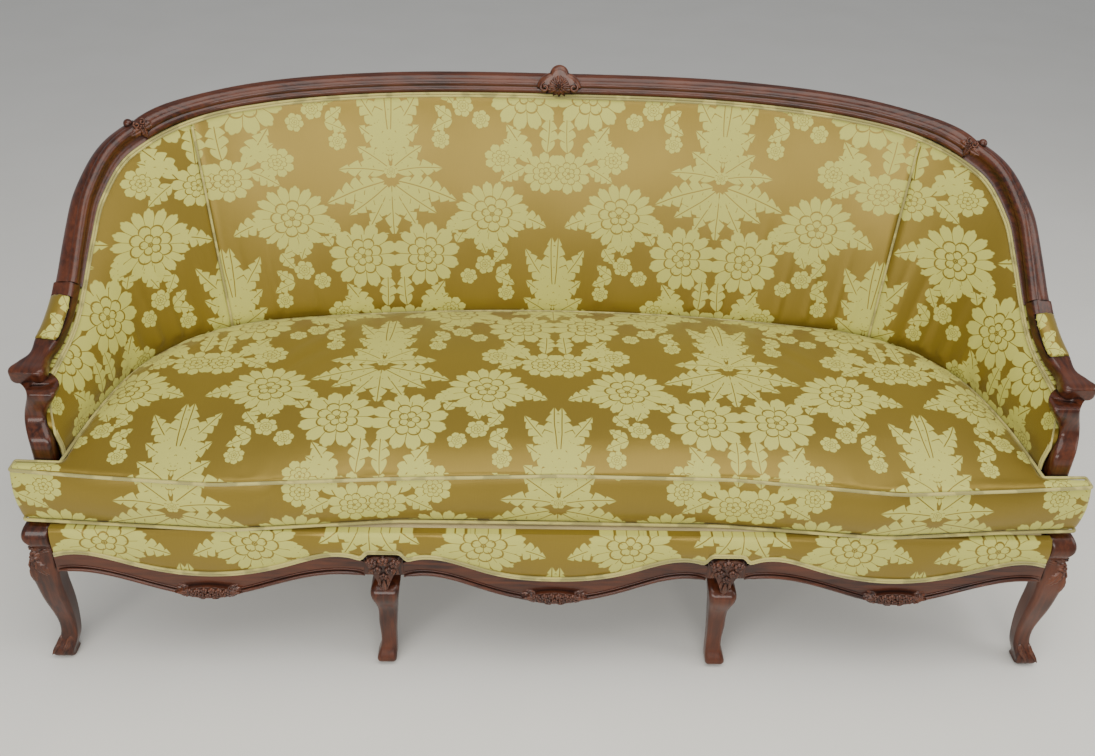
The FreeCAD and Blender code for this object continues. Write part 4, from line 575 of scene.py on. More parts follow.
# Meshes
def add_object(name, verts, faces, mat, uvs=None, smooth=True, body="frame"):
    mesh = bpy.data.meshes.new(name)
    mesh.from_pydata([tuple(v) for v in verts], [], faces)
    if uvs is not None:
        layer = mesh.uv_layers.new(name="cloth")
        flat = np.empty((len(mesh.loops), 2), np.float32)
        loop_verts = np.empty(len(mesh.loops), np.int32)
        mesh.loops.foreach_get("vertex_index", loop_verts)
        flat[:] = np.asarray(uvs, np.float32)[loop_verts]
        layer.data.foreach_set("uv", flat.ravel())
    if smooth:
        mesh.polygons.foreach_set("use_smooth", [True] * len(mesh.polygons))
    mesh.materials.append(mat)
    mesh.update()
    made = bpy.data.objects.new(name, mesh)
    bpy.context.scene.collection.objects.link(made)
    if body:
        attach(made, body)
    return made


def fix_normals(obj):
    bm = bmesh.new()
    bm.from_mesh(obj.data)
    bmesh.ops.recalc_face_normals(bm, faces=bm.faces)
    bm.to_mesh(obj.data)
    bm.free()
    obj.data.update()


def grid_faces(rows, columns, closed=False):
    faces = []
    for i in range(rows - 1):
        for j in range(columns if closed else columns - 1):
            a, b = i * columns + j, i * columns + (j + 1) % columns
            faces.append((a, b, b + columns, a + columns))
    return faces


def paint(names, mat):
    for name in names:
        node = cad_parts[name]
        node = bpy.data.objects.get(node) if isinstance(node, str) else node
        node.data.materials.clear()
        node.data.materials.append(mat)


def cad_copy(name, node, mat, body="frame", uv=None, shape=None, smooth=None):
    """A dressed copy of a CAD node: new UVs from uv(point) and points moved by shape(point, normal)."""
    bm = bmesh.new()
    bm.from_mesh(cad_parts[node].data)
    bmesh.ops.remove_doubles(bm, verts=bm.verts, dist=1e-6)
    mesh = bpy.data.meshes.new(name)
    bm.to_mesh(mesh)
    bm.free()
    mesh.materials.clear()
    mesh.materials.append(mat)
    made = bpy.data.objects.new(name, mesh)
    bpy.context.scene.collection.objects.link(made)
    if smooth:
        remesh(made, smooth)
    if shape:
        for vert in mesh.vertices if not smooth else made.data.vertices:
            vert.co += shape(vert.co, vert.normal)
    if uv:
        map_cloth(made, uv)
    for polygon in made.data.polygons:
        polygon.use_smooth = True
    if not smooth:
        keep_sharp(made)
    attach(made, body)
    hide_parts(node)
    return made


def keep_sharp(obj, angle=38):
    obj.data.set_sharp_from_angle(angle=math.radians(angle))


def remesh(obj, voxel):
    bpy.context.view_layer.objects.active = obj
    modifier = obj.modifiers.new("remesh", "REMESH")
    modifier.mode, modifier.voxel_size = "VOXEL", voxel
    apply_modifiers(obj)


def apply_modifiers(obj):
    graph = bpy.context.evaluated_depsgraph_get()
    mesh = bpy.data.meshes.new_from_object(obj.evaluated_get(graph))
    obj.modifiers.clear()
    old = obj.data
    obj.data = mesh
    bpy.data.meshes.remove(old)


def map_cloth(obj, uv):
    mesh = obj.data
    layer = mesh.uv_layers.get("cloth") or mesh.uv_layers.new(name="cloth")
    for polygon in mesh.polygons:
        for loop in polygon.loop_indices:
            layer.data[loop].uv = uv(mesh.vertices[mesh.loops[loop].vertex_index].co, polygon.normal)


def station_of(point, guess=None):
    x = point.x
    start = guess if guess is not None else (abs(x) if abs(x) < .7 else .8 + max(.3 - point.y, 0))
    station = nearest_station(Vector((abs(x), point.y, 0)), start)
    return math.copysign(station, x)


def wall_uv(point, normal):
    station = station_of(point)
    return (station, (point.z - SEAT) * TILT)


def fast_uv(point, normal):
    """Cloth laid flat on a top and turned down over a front."""
    if abs(normal.z) > .6:
        return (point.x, point.y)
    if abs(normal.y) >= abs(normal.x):
        return (point.x, point.z - .79)
    return (point.y, point.z - .79)


def cad_tree(*names):
    bm = bmesh.new()
    for name in names:
        bm.from_mesh(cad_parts[name].data)
    tree = BVHTree.FromBMesh(bm)
    bm.free()
    return tree


# Panels of the inner back
def gauss(value, width):
    return math.exp(-(value / width) ** 2)


# Pulled creases: station, lowest level, depth, width and height of each
CREASES = [
    (.31, .46, .0034, .006, .20), (.37, .50, .0030, .005, .25), (.43, .49, .0036, .007, .24),
    (.50, .52, .0030, .006, .2), (.56, .50, .0034, .007, .22), (.62, .53, .0030, .006, .22),
    (.66, .55, .0024, .006, .2), (-.24, .50, .0018, .008, .14), (-.42, .50, .0022, .007, .16),
    (-.60, .52, .0030, .006, .20), (-.655, .55, .0026, .006, .22), (-.52, .50, .0018, .007, .14),
    (.10, .49, .0016, .009, .12)]
WING_CREASES = [
    (.735, .56, .0034, .007, .26), (.775, .54, .0040, .008, .26), (.82, .52, .0044, .009, .26),
    (.865, .51, .0040, .009, .22), (.915, .50, .0034, .010, .18), (.965, .50, .0026, .010, .14)]


def crease_depth(station, level, table):
    total = 0
    for place, low, deep, wide, tall in table:
        drift = (level - low) * .10 * (1 if place > 0 else -1)
        away = station - place - drift
        ridge = gauss(away, wide) - .5 * gauss(away - wide * 1.8, wide * 1.4)
        fade = max(0.0, 1 - (level - SEAT) / tall) ** 1.2
        total += deep * ridge * fade
    return total


def back_panel(name, nodes, first, last, creases, front_limit=None):
    """A padded panel of the inner back, crowned over its stuffing and drawn down at its seams."""
    columns = max(int((last - first) / .0055), 20)
    rows = 64
    verts, uvs = [], []
    low = .3404
    side = 1 if first + last >= 0 else -1
    for face in (0, 1):
        for i in range(rows + 1):
            t = i / rows
            for j in range(columns + 1):
                share = j / columns
                station = first + (last - first) * share
                top = read_table(INSIDE_EDGE, station)
                z = low + (top - low) * t
                if front_limit:
                    limit = front_limit(z)
                    end = abs(station)
                    station = side * min(end, limit) if end > limit - .0001 else station
                    if end > limit:
                        station = side * limit
                if face:
                    out = PAD_BACK - .001
                else:
                    if abs(station) > SEAM:
                        span = math.sin(math.pi * min(max((abs(station) - SEAM) / .52, 0), 1))
                    else:
                        span = math.cos(math.pi / 2 * station / SEAM)
                    up = min(max((z - SEAT) / (top - .012 - SEAT), 0), 1)
                    crown = .0135 * (.25 + .75 * abs(span) ** .5) * math.sin(math.pi * up) ** .8
                    seam_gap = min(abs(abs(station) - SEAM) / .010, 1)
                    soften = math.sin(seam_gap * math.pi / 2)
                    crown *= .35 + .65 * soften
                    out = -PAD_FACE - crown + (1 - soften) * .0030
                    if z > SEAT:
                        out -= crease_depth(station, z, creases) * soften * min((top - z) / .03, 1)
                        wave = math.sin(station * 31) * math.sin(z * 23 + station * 7)
                        out -= .0007 * wave * soften * min((top - z) / .05, 1)
                verts.append(wall_point(station, z, out))
                uvs.append((station, (z - SEAT) * TILT))
    step = columns + 1
    count = (rows + 1) * step
    faces = []
    for i in range(rows):
        for j in range(columns):
            a = i * step + j
            faces.append((a, a + 1, a + 1 + step, a + step))
            faces.append((count + a, count + a + step, count + a + 1 + step, count + a + 1))
    rim = [j for j in range(step)] + [i * step + columns for i in range(1, rows + 1)]
    rim += [rows * step + j for j in range(columns - 1, -1, -1)] + [i * step for i in range(rows - 1, 0, -1)]
    for a, b in zip(rim, rim[1:] + rim[:1]):
        faces.append((b, a, count + a, count + b))
    made = add_object(name, verts, faces, damask_back, uvs)
    fix_normals(made)
    keep_sharp(made, 60)
    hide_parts(*nodes)
    return made


def stump_front(z):
    """The y of the arm stump's front face at some height."""
    table = [(.338, -.330), (.405, -.330), (.450, -.329), (.500, -.324), (.540, -.297),
             (.575, -.266), (.64, -.24)]
    for (z0, y0), (z1, y1) in zip(table, table[1:]):
        if z <= z1:
            share = max(z - z0, 0) / (z1 - z0)
            return y0 + (y1 - y0) * share
    return table[-1][1]


def limit_at(z):
    foot, _, along = plan(STATION_3)
    y = stump_front(z) + .0156
    return STATION_3 + (foot.y - y) / -along.y


back_panel("inner_back_center", ["inside_back_center"], -SEAM + .0003, SEAM - .0003, CREASES)
for tag, sign in (("right", 1), ("left", -1)):
    ends = (SEAM + .0003, 1.218) if sign > 0 else (-1.218, -SEAM - .0003)
    creases = [(sign * a, b, c, d, e) for a, b, c, d, e in WING_CREASES]
    back_panel("inner_back_" + tag, ["inside_back_" + tag], ends[0], ends[1], creases, limit_at)


# Cords
def sweep(paths, radius, name, mat, sides=10, body="frame", closed=False, nodes=()):
    """Round cords along paths of points."""
    verts, faces, uvs = [], [], []
    for path in paths:
        base = len(verts)
        n = len(path)
        run = 0.0
        up = None
        for i, point in enumerate(path):
            ahead = path[(i + 1) % n] if closed or i < n - 1 else path[i]
            behind = path[i - 1] if closed or i > 0 else path[i]
            along = (ahead - behind).normalized()
            if up is None:
                up = along.orthogonal().normalized()
            up = (up - along * up.dot(along)).normalized()
            across = along.cross(up)
            if i:
                run += (point - path[i - 1]).length
            for j in range(sides):
                turn = 2 * math.pi * j / sides
                verts.append(point + (up * math.cos(turn) + across * math.sin(turn)) * radius)
                uvs.append((run, radius * turn))
        for i in range(n if closed else n - 1):
            for j in range(sides):
                a, b = base + i * sides + j, base + i * sides + (j + 1) % sides
                c, d = base + ((i + 1) % n) * sides + (j + 1) % sides, base + ((i + 1) % n) * sides + j
                faces.append((a, b, c, d))
        if not closed:
            faces.append(tuple(base + j for j in range(sides))[::-1])
            faces.append(tuple(base + (n - 1) * sides + j for j in range(sides)))
    made = add_object(name, verts, faces, mat, uvs, body=body)
    fix_normals(made)
    if nodes:
        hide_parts(*nodes)
    return made


def trim_point(length, across, rise):
    """A point of the double cord under the top rail."""
    centre, edge, _ = rail_frame(length)
    line = centre - edge * (eased(WOOD_BELOW, rail_at(abs(length))[0]) + .0012 + .005)
    reach = nearest_station(Vector((abs(line.x), line.y, 0)), rail_at(abs(length))[0])
    station = math.copysign(reach, length)
    spot = wall_point(station, line.z, 0)
    normal = wall_normal(station, line.z)
    edge = (edge - normal * edge.dot(normal)).normalized()
    return spot + edge * across - normal * (PAD_FACE + rise)


end = RAIL_LENGTH - .030
back_paths = []
for across in (-.0026, .0026):
    path = [trim_point(-end + 2 * end * i / 420, across, .0020) for i in range(421)]
    for sign in (1, -1):
        ext = []
        for i in range(1, 16):
            z = .570 - (.570 - .452) * i / 15
            y = stump_front(z) + .0200 + across * .9
            foot, outward, along = plan(STATION_3)
            station = STATION_3 + (foot.y - y) / -along.y
            spot = wall_point(station, z, -PAD_FACE - .0020)
            ext.append(Vector((spot.x * sign, spot.y, spot.z)))
        if sign > 0:
            path = path + ext
        else:
            path = ext[::-1] + path
    back_paths.append(path)
sweep(back_paths, .0026, "double_cord_back", welt_cloth, nodes=["back_trim"])

seam_rise = .0012
for tag, sign in (("right", 1), ("left", -1)):
    rim = read_table(INSIDE_EDGE, SEAM) - .011
    foot = SEAT - .04
    path = [wall_point(sign * SEAM, foot + (rim - foot) * i / 60, -PAD_FACE - seam_rise) for i in range(61)]
    sweep([path], .0026, "seam_cord_" + tag, welt_cloth, nodes=["seam_welt_" + tag])

# The front border and its cords
border_tree = cad_tree("front_border")
FACE_Y, BORDER_TOP = -.383, .340
border_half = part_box("front_border")[1].x
bottom_line = []
for i in range(401):
    x = -border_half + .0004 + (2 * border_half - .0008) * i / 400
    hit = border_tree.ray_cast(Vector((x, -.374, 0)), Vector((0, 0, 1)))[0]
    bottom_line.append((x, hit.z if hit else .29))
verts, uvs, rows = [], [], 22
for face in (0, 1):
    for i in range(rows + 1):
        t = i / rows
        for x, z0 in bottom_line:
            z = z0 + .0005 + (BORDER_TOP - z0 - .0005) * t
            bulge = .0075 * math.sin(math.pi * min(t * 1.05, 1)) ** .6
            bulge += .0012 * math.sin(x * 57) * math.sin(math.pi * t)
            y = -.3658 if face else FACE_Y + .003 - bulge
            verts.append((x, y, z))
            uvs.append((x, z))
step, count, faces = 401, (rows + 1) * 401, []
for i in range(rows):
    for j in range(400):
        a = i * step + j
        faces.append((a, a + 1, a + 1 + step, a + step))
        faces.append((count + a, count + a + step, count + a + 1 + step, count + a + 1))
rim = list(range(step)) + [i * step + 400 for i in range(1, rows + 1)]
rim += [rows * step + j for j in range(399, -1, -1)] + [i * step for i in range(rows - 1, 0, -1)]
faces += [(b, a, count + a, count + b) for a, b in zip(rim, rim[1:] + rim[:1])]
border = add_object("front_panel", verts, faces, damask_front, uvs)
fix_normals(border)
keep_sharp(border, 60)
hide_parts("front_border")

paths = []
for lift in (.0032, .0084):
    smooth_z = [z for _, z in bottom_line]
    for _ in range(2):
        inner = [(a + b * 2 + c) / 4 for a, b, c in zip(smooth_z, smooth_z[1:], smooth_z[2:])]
        smooth_z = [smooth_z[0]] + inner + [smooth_z[-1]]
    paths.append([Vector((x, FACE_Y - .0022, z + lift)) for (x, _), z in zip(bottom_line, smooth_z)])
sweep(paths, .0026, "double_cord_front", welt_cloth, nodes=["front_trim"])

# The loose cushion
CUSHION_LOW, CUSHION_HIGH = .3445, .4523


def sag(point):
    """Slow waves along the cushion's front edge, which take its cords with them."""
    near = max(0.0, min((-.20 - point.y) / .16, 1))
    level = max(0.0, min((point.z - .345) / .10, 1))
    drop = .0050 * math.sin(point.x * 5.3 + .8) + .0022 * math.sin(point.x * 13.0 + 2.0)
    lift = .0040 * math.sin(point.x * 6.1 + 2.5)
    return Vector((0, 0, near * (drop * level + max(lift, 0) * (1 - level))))


cushion = cad_copy("cushion", "seat_cushion", damask_seat, body="cushion", smooth=.0085)
cushion_tree = cad_tree("seat_cushion")
for vert in cushion.data.vertices:
    vert.co = cushion_tree.find_nearest(vert.co)[0]


def pinned_share(z):
    return max(gauss(z - CUSHION_LOW, .007), gauss(z - CUSHION_HIGH, .007))


def simulate(obj, pin, pressure, cap, frames=20):
    rest = np.empty(len(obj.data.vertices) * 3)
    obj.data.vertices.foreach_get("co", rest)
    rest = rest.reshape(-1, 3)
    group = obj.vertex_groups.new(name="pin")
    for vert in obj.data.vertices:
        weight = pin(vert.co)
        if weight > .02:
            group.add([vert.index], weight, "REPLACE")
    cloth = obj.modifiers.new("cloth", "CLOTH")
    settings = cloth.settings
    settings.use_pressure = True
    settings.uniform_pressure_force = pressure
    settings.effector_weights.gravity = 0
    settings.vertex_group_mass = "pin"
    settings.quality = 4
    settings.tension_stiffness = settings.compression_stiffness = 12
    settings.bending_stiffness = .6
    scene = bpy.context.scene
    for number in range(1, frames + 1):
        scene.frame_set(number)
    apply_modifiers(obj)
    moved = np.empty(len(obj.data.vertices) * 3)
    obj.data.vertices.foreach_get("co", moved)
    moved = moved.reshape(-1, 3)
    shift = moved - rest
    size = np.linalg.norm(shift, axis=1)
    scale = np.where(size > cap, cap / np.maximum(size, 1e-9), 1)
    moved = rest + shift * scale[:, None]
    obj.data.vertices.foreach_set("co", moved.ravel())
    obj.data.update()
    scene.frame_set(1)
    obj.vertex_groups.clear()


def hold_cushion(co):
    low = 1.0 if co.z < .3445 else 0.0
    return max(low, pinned_share(co.z))


simulate(cushion, hold_cushion, 3.0, .012)
# Creases of the boxing: place, lean, depth and width
BOXING_CREASES = [(-.515, .5, .0045, .010), (-.495, .7, .0035, .007), (.30, -.3, .0022, .012),
                  (.62, .4, .0020, .012)]
for vert in cushion.data.vertices:
    co = vert.co
    co += sag(co)
    if CUSHION_LOW + .012 < co.z < CUSHION_HIGH - .010 and co.y < -.25:
        for place, lean, deep, wide in BOXING_CREASES:
            drift = (co.z - .40) * lean
            co.y += deep * gauss(co.x - place - drift, wide) * math.sin(math.pi * (co.z - CUSHION_LOW) / .108)
    ear = min(max((abs(co.x) - .940) / .012, 0), 1)
    co.x += math.copysign(.0075 * ear, co.x)
    if co.z > .455:
        broad = .0016 * math.sin(co.x * 9 + co.y * 5) * math.sin(co.y * 14)
        co.z += broad + .0012 * math.sin(co.x * 23 + 1.1) * math.sin(co.y * 9 + .5)
cushion.data.update()
subdivide = cushion.modifiers.new("subdivide", "SUBSURF")
subdivide.levels = subdivide.render_levels = 1
apply_modifiers(cushion)
map_cloth(cushion, fast_uv)


def cord_uv(point, normal):
    return (point.x + point.y, point.z)


for tag in ("top", "bottom"):
    cad_copy("cushion_cord_" + tag, "cushion_welt_" + tag, welt_cloth, body="cushion",
             uv=cord_uv, shape=lambda co, n: sag(co))

# Covers, pads and hidden cloth
cad_copy("back_cover", "outside_back", damask_back, uv=wall_uv)
for tag in ("right", "left"):
    cad_copy("side_cover_" + tag, "outside_side_" + tag, damask_back, uv=wall_uv)


def pad_shape(co, normal):
    return normal * (.0016 if normal.z > .2 else .0)


for tag in ("right", "left"):
    pad = cad_copy("pad_" + tag, "arm_pad_" + tag, damask_front, uv=fast_uv, smooth=.0035, shape=pad_shape)
deck = cad_copy("deck_pad", "seat_deck", deck_cloth, uv=fast_uv)

paint(["seat_burlap", "seat_webbing", "back_webbing"], jute_cloth)
paint(["dust_cover"], black_cloth)
paint(["seat_springs", "block_screws", "cover_tacks", "foot_glides"], steel)
HIDDEN_WOOD = ("back_seat_rail", "side_seat_rail", "back_stay_rail", "corner_block", "webbing_battens",
               "seat_brace", "dowels")
paint([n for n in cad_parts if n.startswith(HIDDEN_WOOD)], pale_wood)
paint(["top_rail_center", "front_rail_center", "front_rail_right", "front_rail_left"], wood_x)
paint(["top_rail_right", "top_rail_left", "arm_right", "arm_left"], wood_y)
paint([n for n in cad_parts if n.startswith(("front_leg", "rear_leg", "arm_stump"))], wood_z)
paint(["crest_carving"], wood_carved)


# Carving
class Carver:
    """Collects reliefs into one mesh."""

    def __init__(self):
        self.verts, self.faces = [], []

    def patch(self, rows, columns, point, closed=False):
        base = len(self.verts)
        for i in range(rows):
            for j in range(columns):
                self.verts.append(point(i / (rows - 1), j / (columns if closed else columns - 1)))
        self.faces += [tuple(base + a for a in face) for face in grid_faces(rows, columns, closed)]

    def petals(self, centre, normal, up, radius, height, count, turn=0.0):
        """A small open flower in relief with a domed eye."""
        normal = Vector(normal).normalized()
        up = (Vector(up) - normal * Vector(up).dot(normal)).normalized()
        across = up.cross(normal)

        def point(r, a):
            angle = 2 * math.pi * a + turn
            lobe = abs(math.cos(count * angle / 2)) ** .6
            reach = radius * r * (.74 + .26 * lobe)
            dome = 1.05 * math.exp(-(r / .26) ** 2)
            ring = .85 * math.sin(math.pi * min(r * 1.02, 1)) ** .8 * (.35 + .65 * lobe)
            rise = height * (dome + ring - .35 * math.exp(-((r - .34) / .07) ** 2))
            if r > .999:
                rise = -height * .5
            return centre + (across * math.sin(angle) + up * math.cos(angle)) * reach + normal * rise
        self.patch(10, count * 8, point, closed=True)

    def leaf(self, root, direction, normal, length, width, height, curl=0.0, lobes=4, bend=0.0):
        """A lobed leaf in relief with a sunk midrib; curl lifts its tip."""
        normal = Vector(normal).normalized()
        along = (Vector(direction) - normal * Vector(direction).dot(normal)).normalized()
        across = normal.cross(along)

        def point(u, v):
            side = 2 * v - 1
            body = math.sin(math.pi * min(max(u, .002), .998) ** .75)
            tooth = 1 - .30 * (u * lobes % 1) ** 2 * (1 if abs(side) > .3 else 0)
            half = width / 2 * body * tooth
            rib = .55 + .45 * min(abs(side) / .22, 1)
            ripple = .12 * math.sin((u * lobes - abs(side) * .4) * 2 * math.pi) * abs(side)
            rise = height * ((1 - abs(side) ** 2.4) * rib + ripple) * (.35 + .65 * body) + curl * u * u
            if abs(side) > .98:
                rise = -height * .4
            return root + along * (length * u) + across * (half * side + bend * u * u) + normal * rise
        self.patch(22, 15, point)

    def bead(self, path, radius, squash=1.0, sides=8):
        """A rounded moulding along a path."""
        up = None
        base = len(self.verts)
        for i, spot in enumerate(path):
            ahead, behind = path[min(i + 1, len(path) - 1)], path[max(i - 1, 0)]
            along = (ahead - behind).normalized()
            up = along.orthogonal().normalized() if up is None else (up - along * up.dot(along)).normalized()
            across = along.cross(up)
            taper = min(1, (i + .6) / 5, (len(path) - i - .4) / 5) ** .5
            for j in range(sides):
                turn = 2 * math.pi * j / sides
                self.verts.append(spot + (up * math.cos(turn) + across * math.sin(turn)) * radius * taper)
        for i in range(len(path) - 1):
            for j in range(sides):
                a, b = base + i * sides + j, base + i * sides + (j + 1) % sides
                self.faces.append((a, b, b + sides, a + sides))
        self.faces.append(tuple(base + j for j in range(sides)))
        self.faces.append(tuple(base + (len(path) - 1) * sides + j for j in range(sides))[::-1])

    def scroll(self, centre, normal, up, radius, wire, turns=1.4, hand=1):
        """A small volute."""
        normal = Vector(normal).normalized()
        up = (Vector(up) - normal * Vector(up).dot(normal)).normalized()
        across = up.cross(normal) * hand
        path = []
        for i in range(36):
            t = i / 35
            angle = 2 * math.pi * turns * t
            reach = radius * (1 - .82 * t)
            way = across * math.sin(angle) + up * math.cos(angle)
            path.append(centre + way * reach + normal * (.0015 * t))
        self.bead(path, wire)

    def mirror(self):
        count = len(self.verts)
        self.verts += [Vector((-v.x, v.y, v.z)) for v in self.verts]
        self.faces += [tuple(count + i for i in face[::-1]) for face in self.faces]

    def drape(self, nodes, origin, outward):
        """Lays the relief on the wood below it, seen along outward."""
        tree = cad_tree(*nodes)
        for index, spot in enumerate(self.verts):
            rise = (spot - origin).dot(outward)
            hit = tree.ray_cast(spot + outward * (.05 - rise), -outward, .09)[0]
            if hit:
                self.verts[index] = hit + outward * rise
            else:
                near, side = tree.find_nearest(spot - outward * rise)[:2]
                self.verts[index] = near + side * max(rise, -.001)

    def finish(self, name, mat=None):
        made = add_object(name, self.verts, self.faces, mat or wood_carved)
        fix_normals(made)
        return made


FRONT = Vector((0, -1, 0))
UP = Vector((0, 0, 1))


def flower_cluster(name, x, z, nodes):
    """The long relief of small flowers and leaf sprigs in the middle of a rail."""
    carve = Carver()
    y = FACE_Y - .0075

    def at(dx, dz, dy=0.0):
        return Vector((x + dx, y - dy, z + dz))
    for i, dx in enumerate((-.034, -.020, -.007, .007, .020, .034)):
        carve.petals(at(dx, .0060 - abs(dx) * .10, .001), FRONT, UP, .0082, .0042, 5, i * .7)
    for i, dx in enumerate((-.027, -.0135, 0, .0135, .027)):
        carve.petals(at(dx, -.0060 + abs(dx) * .10, .0015), FRONT, UP, .0078, .0042, 5, .3 + i * .9)
    for hand in (-1, 1):
        carve.leaf(at(.030 * hand, .001), (hand, 0, .05), FRONT, .046, .017, .0040, -.004, 4)
        carve.leaf(at(.034 * hand, -.005), (hand, 0, -.32), FRONT, .030, .011, .0036, -.003, 3)
        carve.leaf(at(.034 * hand, .006), (hand, 0, .38), FRONT, .028, .010, .0036, -.003, 3)
        carve.leaf(at(.004 * hand, -.008), (hand * .8, 0, -.75), FRONT, .022, .010, .0036, 0, 3)
    carve.drape(nodes, at(0, 0), FRONT)
    carve.finish(name)


rail_z = .178 + .015
SIDE_X = (.320 + .036 + .946 - .026) / 2 + .012
flower_cluster("carved_flowers_center", 0, rail_z - .004, ["front_rail_center"])
flower_cluster("carved_flowers_right", SIDE_X, rail_z + .002, ["front_rail_right"])
flower_cluster("carved_flowers_left", -SIDE_X, rail_z + .002, ["front_rail_left"])

# Across, height and radius of each flower of a fan
FAN_FLOWERS = [(-.020, .274, .0105), (0, .279, .0115), (.020, .274, .0105), (-.011, .258, .0098),
               (.011, .258, .0098), (0, .243, .0090)]
for tag, sign in (("right", 1), ("left", -1)):
    # Fan of flowers on a middle leg
    carve = Carver()
    x, y = sign * .320, FACE_Y - .0080

    def at(dx, z, dy=0.0):
        return Vector((x + dx, y - dy, z))
    for dx, z, r in FAN_FLOWERS:
        carve.petals(at(dx, z, .001), FRONT, UP, r, .0050, 5, dx * 40)
    for hand in (-1, 1):
        carve.leaf(at(.018 * hand, .262), (hand * .35, 0, -1), FRONT, .036, .013, .0040, -.004, 4)
        carve.leaf(at(.022 * hand, .276), (hand, 0, .5), FRONT, .020, .012, .0040, -.004, 3)
        carve.leaf(at(.006 * hand, .240), (hand * .15, 0, -1), FRONT, .042, .010, .0036, -.004, 4)
    carve.leaf(at(0, .236, .001), (0, 0, -1), FRONT, .050, .012, .0040, -.005, 5)
    carve.drape(["front_leg_middle_" + tag], at(0, .25), FRONT)
    carve.finish("carved_fan_" + tag)
    # Leaf and flower on a corner knee, facing out from the corner
    carve = Carver()
    out = Vector((sign * .62, -.78, 0)).normalized()
    heart = Vector((sign * .950, -.356, .255)) + out * .0275
    carve.petals(heart + UP * .012, out, UP, .0125, .006, 6, .2)
    carve.petals(heart + UP * .030 - out * .001, out, UP, .0095, .005, 5, .7)
    across = Vector((-out.y, out.x, 0))
    for hand in (-1, 1):
        low, high = heart + across * (.006 * hand) + UP * .004, heart + across * (.010 * hand) + UP * .020
        way = across * hand
        carve.leaf(low, way * .45 - UP, out, .050, .020, .0050, -.006, 5, .004 * hand)
        carve.leaf(high, way + UP * .35, out, .024, .013, .0045, -.010, 3)
    carve.leaf(heart - UP * .004, -UP, out, .066, .016, .0052, -.008, 6)
    carve.drape(["front_leg_corner_" + tag], heart, out)
    carve.finish("carved_knee_" + tag)
    # Scrolled toes
    carve = Carver()
    toe = Vector((sign * .962, -.378, .020))
    for hand in (-1, 1):
        carve.leaf(toe + UP * .030 + across * (.008 * hand), -UP + out * .15, out, .034, .012, .004, .004, 2)
    carve.drape(["front_leg_corner_" + tag], toe, out)
    carve.finish("carved_toe_" + tag)
    # Leaf cartouche and volutes at a clasp
    carve = Carver()
    length = sign * length_at(.775)
    centre, edge, normal = rail_frame(length)
    along = edge.cross(normal) * -1
    spot = centre - normal * .0085
    for hand in (-1, 1):
        carve.leaf(spot + edge * .004, along * hand, -normal, .030, .022, .0050, -.002, 4)
        eye = spot + edge * .016 + along * (.006 * hand) - normal * .001
        carve.scroll(eye, -normal, edge, .0065, .0022, 1.2, hand)
    carve.leaf(spot + edge * .010, -edge, -normal, .026, .018, .0055, 0, 4)
    carve.petals(spot + edge * .006 - normal * .003, -normal, edge, .0075, .004, 6)
    carve.finish("carved_clasp_" + tag)

# The crest shell
carve = Carver()
centre, edge, normal = rail_frame(0)
spot = centre - normal * .0165
CREST_LEAVES = [(0, .034, .018), (32, .032, .016), (-32, .032, .016), (62, .032, .015),
                (-62, .032, .015), (90, .036, .014), (-90, .036, .014)]
for angle, length, width in CREST_LEAVES:
    turn = math.radians(angle)
    way = edge * math.cos(turn) + Vector((1, 0, 0)) * math.sin(turn)
    carve.leaf(spot - edge * .004 + way * .003, way, -normal, length, width, .0055, -.010, 3)
for angle, length in ((180, .022), (148, .024), (-148, .024), (118, .032), (-118, .032)):
    turn = math.radians(angle)
    way = edge * math.cos(turn) + Vector((1, 0, 0)) * math.sin(turn)
    carve.leaf(spot - edge * .004, way, -normal, length, .012, .0050, -.008, 3)
for hand in (-1, 1):
    eye = spot + Vector((.030 * hand, 0, 0)) - edge * .006 - normal * .001
    carve.scroll(eye, -normal, edge, .0095, .0028, 1.3, hand)
carve.petals(spot - edge * .003 - normal * .004, -normal, edge, .0095, .005, 8)
carve.finish("carved_crest")


# Raised mouldings along the front rails' lower edge
def ray_line(names, points, direction):
    tree = cad_tree(*names)
    hits = []
    for p in points:
        hit = tree.ray_cast(p, direction)[0]
        if hit:
            hits.append(hit)
    return hits


carve = Carver()
RAIL_SPANS = [(["front_rail_center"], -.282, .282), (["front_rail_right"], .358, .918),
              (["front_rail_left"], -.918, -.358)]
for names, x0, x1 in RAIL_SPANS:
    count = 140
    spots = [Vector((x0 + (x1 - x0) * i / count, FACE_Y + .003, 0)) for i in range(count + 1)]
    under = ray_line(names, spots, UP)
    path = [Vector((p.x, FACE_Y - .0008, p.z + .0045)) for p in under]
    carve.bead(path, .0042)
    inner = [Vector((p.x, FACE_Y - .0002, p.z + .0125)) for p in under]
    carve.bead(inner, .0016)
carve.finish("rail_beads", wood_x)

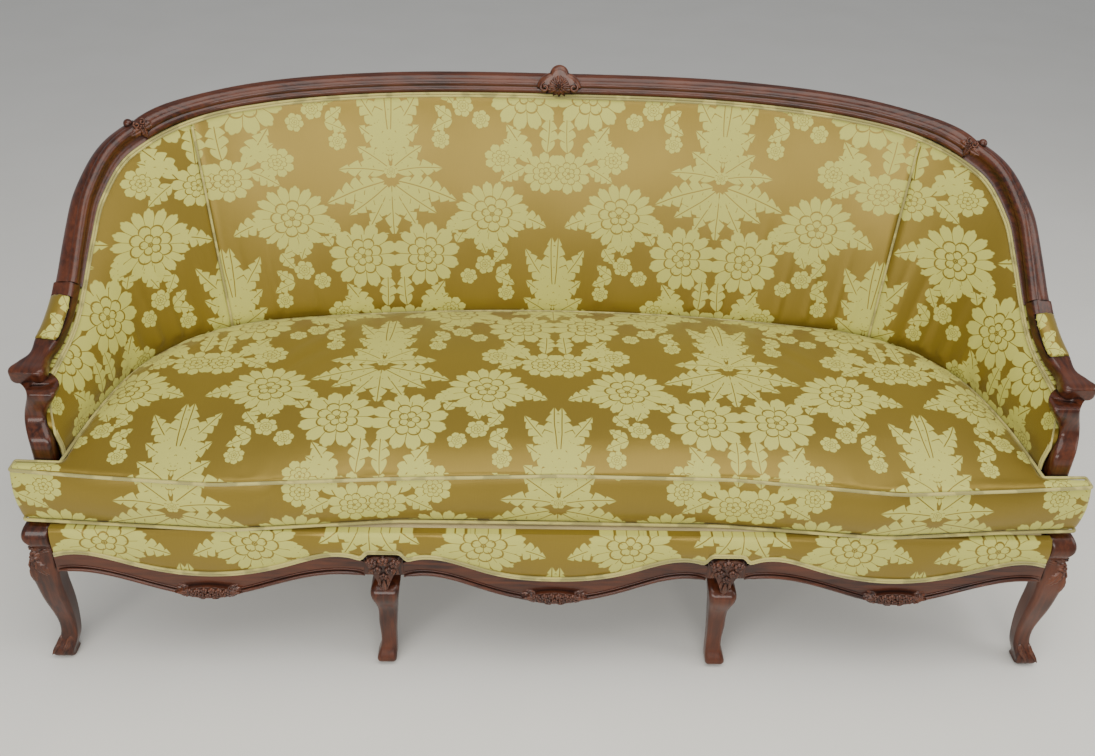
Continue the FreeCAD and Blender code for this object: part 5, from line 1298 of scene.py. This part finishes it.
# Camera, floor and light
def photo_camera():
    pitch, yaw, roll = math.radians(33.9), math.radians(2.17), math.radians(2.15)
    forward = Vector((math.sin(yaw) * math.cos(pitch), math.cos(yaw) * math.cos(pitch), -math.sin(pitch)))
    right = Vector((math.cos(yaw), -math.sin(yaw), 0))
    up = right.cross(forward)
    level_right = math.cos(roll) * right + math.sin(roll) * up
    level_up = -math.sin(roll) * right + math.cos(roll) * up
    data = bpy.data.cameras.new("camera")
    data.sensor_width = 36
    data.lens = 36 * 1100.1 / 1095
    made = bpy.data.objects.new("camera", data)
    bpy.context.scene.collection.objects.link(made)
    turn = Matrix((level_right, level_up, -forward)).transposed()
    made.matrix_world = Matrix.Translation((-.086, -1.887, 1.698)) @ turn.to_4x4()
    bpy.context.scene.camera = made


photo_camera()

floor_material, k, shader = material("floor", (.80, .79, .74))
where = k.node("ShaderNodeTexCoord").outputs["Object"]
k.put(shader.inputs["Base Color"], k.mix(k.noise(where, 3.0, 2.0), (.74, .73, .68, 1), (.80, .79, .745, 1)))
shader.inputs["Roughness"].default_value = .95
corners = [(-6, -5, 0), (6, -5, 0), (6, 6, 0), (-6, 6, 0)]
floor = add_object("floor", corners, [(0, 1, 2, 3)], floor_material, body=None)
floor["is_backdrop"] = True

world = bpy.data.worlds.new("world")
world.use_nodes = True
world.node_tree.nodes["Background"].inputs[0].default_value = (.93, .95, 1.0, 1)
world.node_tree.nodes["Background"].inputs[1].default_value = .42
bpy.context.scene.world = world


def area_light(name, where, aim, size_x, size_y, power, tint=(1, .97, .92)):
    data = bpy.data.lights.new(name, "AREA")
    data.shape, data.size, data.size_y, data.energy, data.color = "RECTANGLE", size_x, size_y, power, tint
    made = bpy.data.objects.new(name, data)
    made.location = where
    made.rotation_euler = (Vector(aim) - Vector(where)).to_track_quat("-Z", "Y").to_euler()
    bpy.context.scene.collection.objects.link(made)


area_light("window", (-.6, -2.9, 1.55), (0, .1, .65), 3.6, 1.0, 74)
area_light("ceiling", (.3, -.6, 3.0), (0, 0, .4), 3.2, 2.2, 72)
area_light("fill", (3.0, -.6, 1.8), (0, 0, .5), 1.6, 1.6, 22)

low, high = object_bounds()
{"cad": [list(cad_low), list(cad_high)], "visual": [list(low), list(high)]}
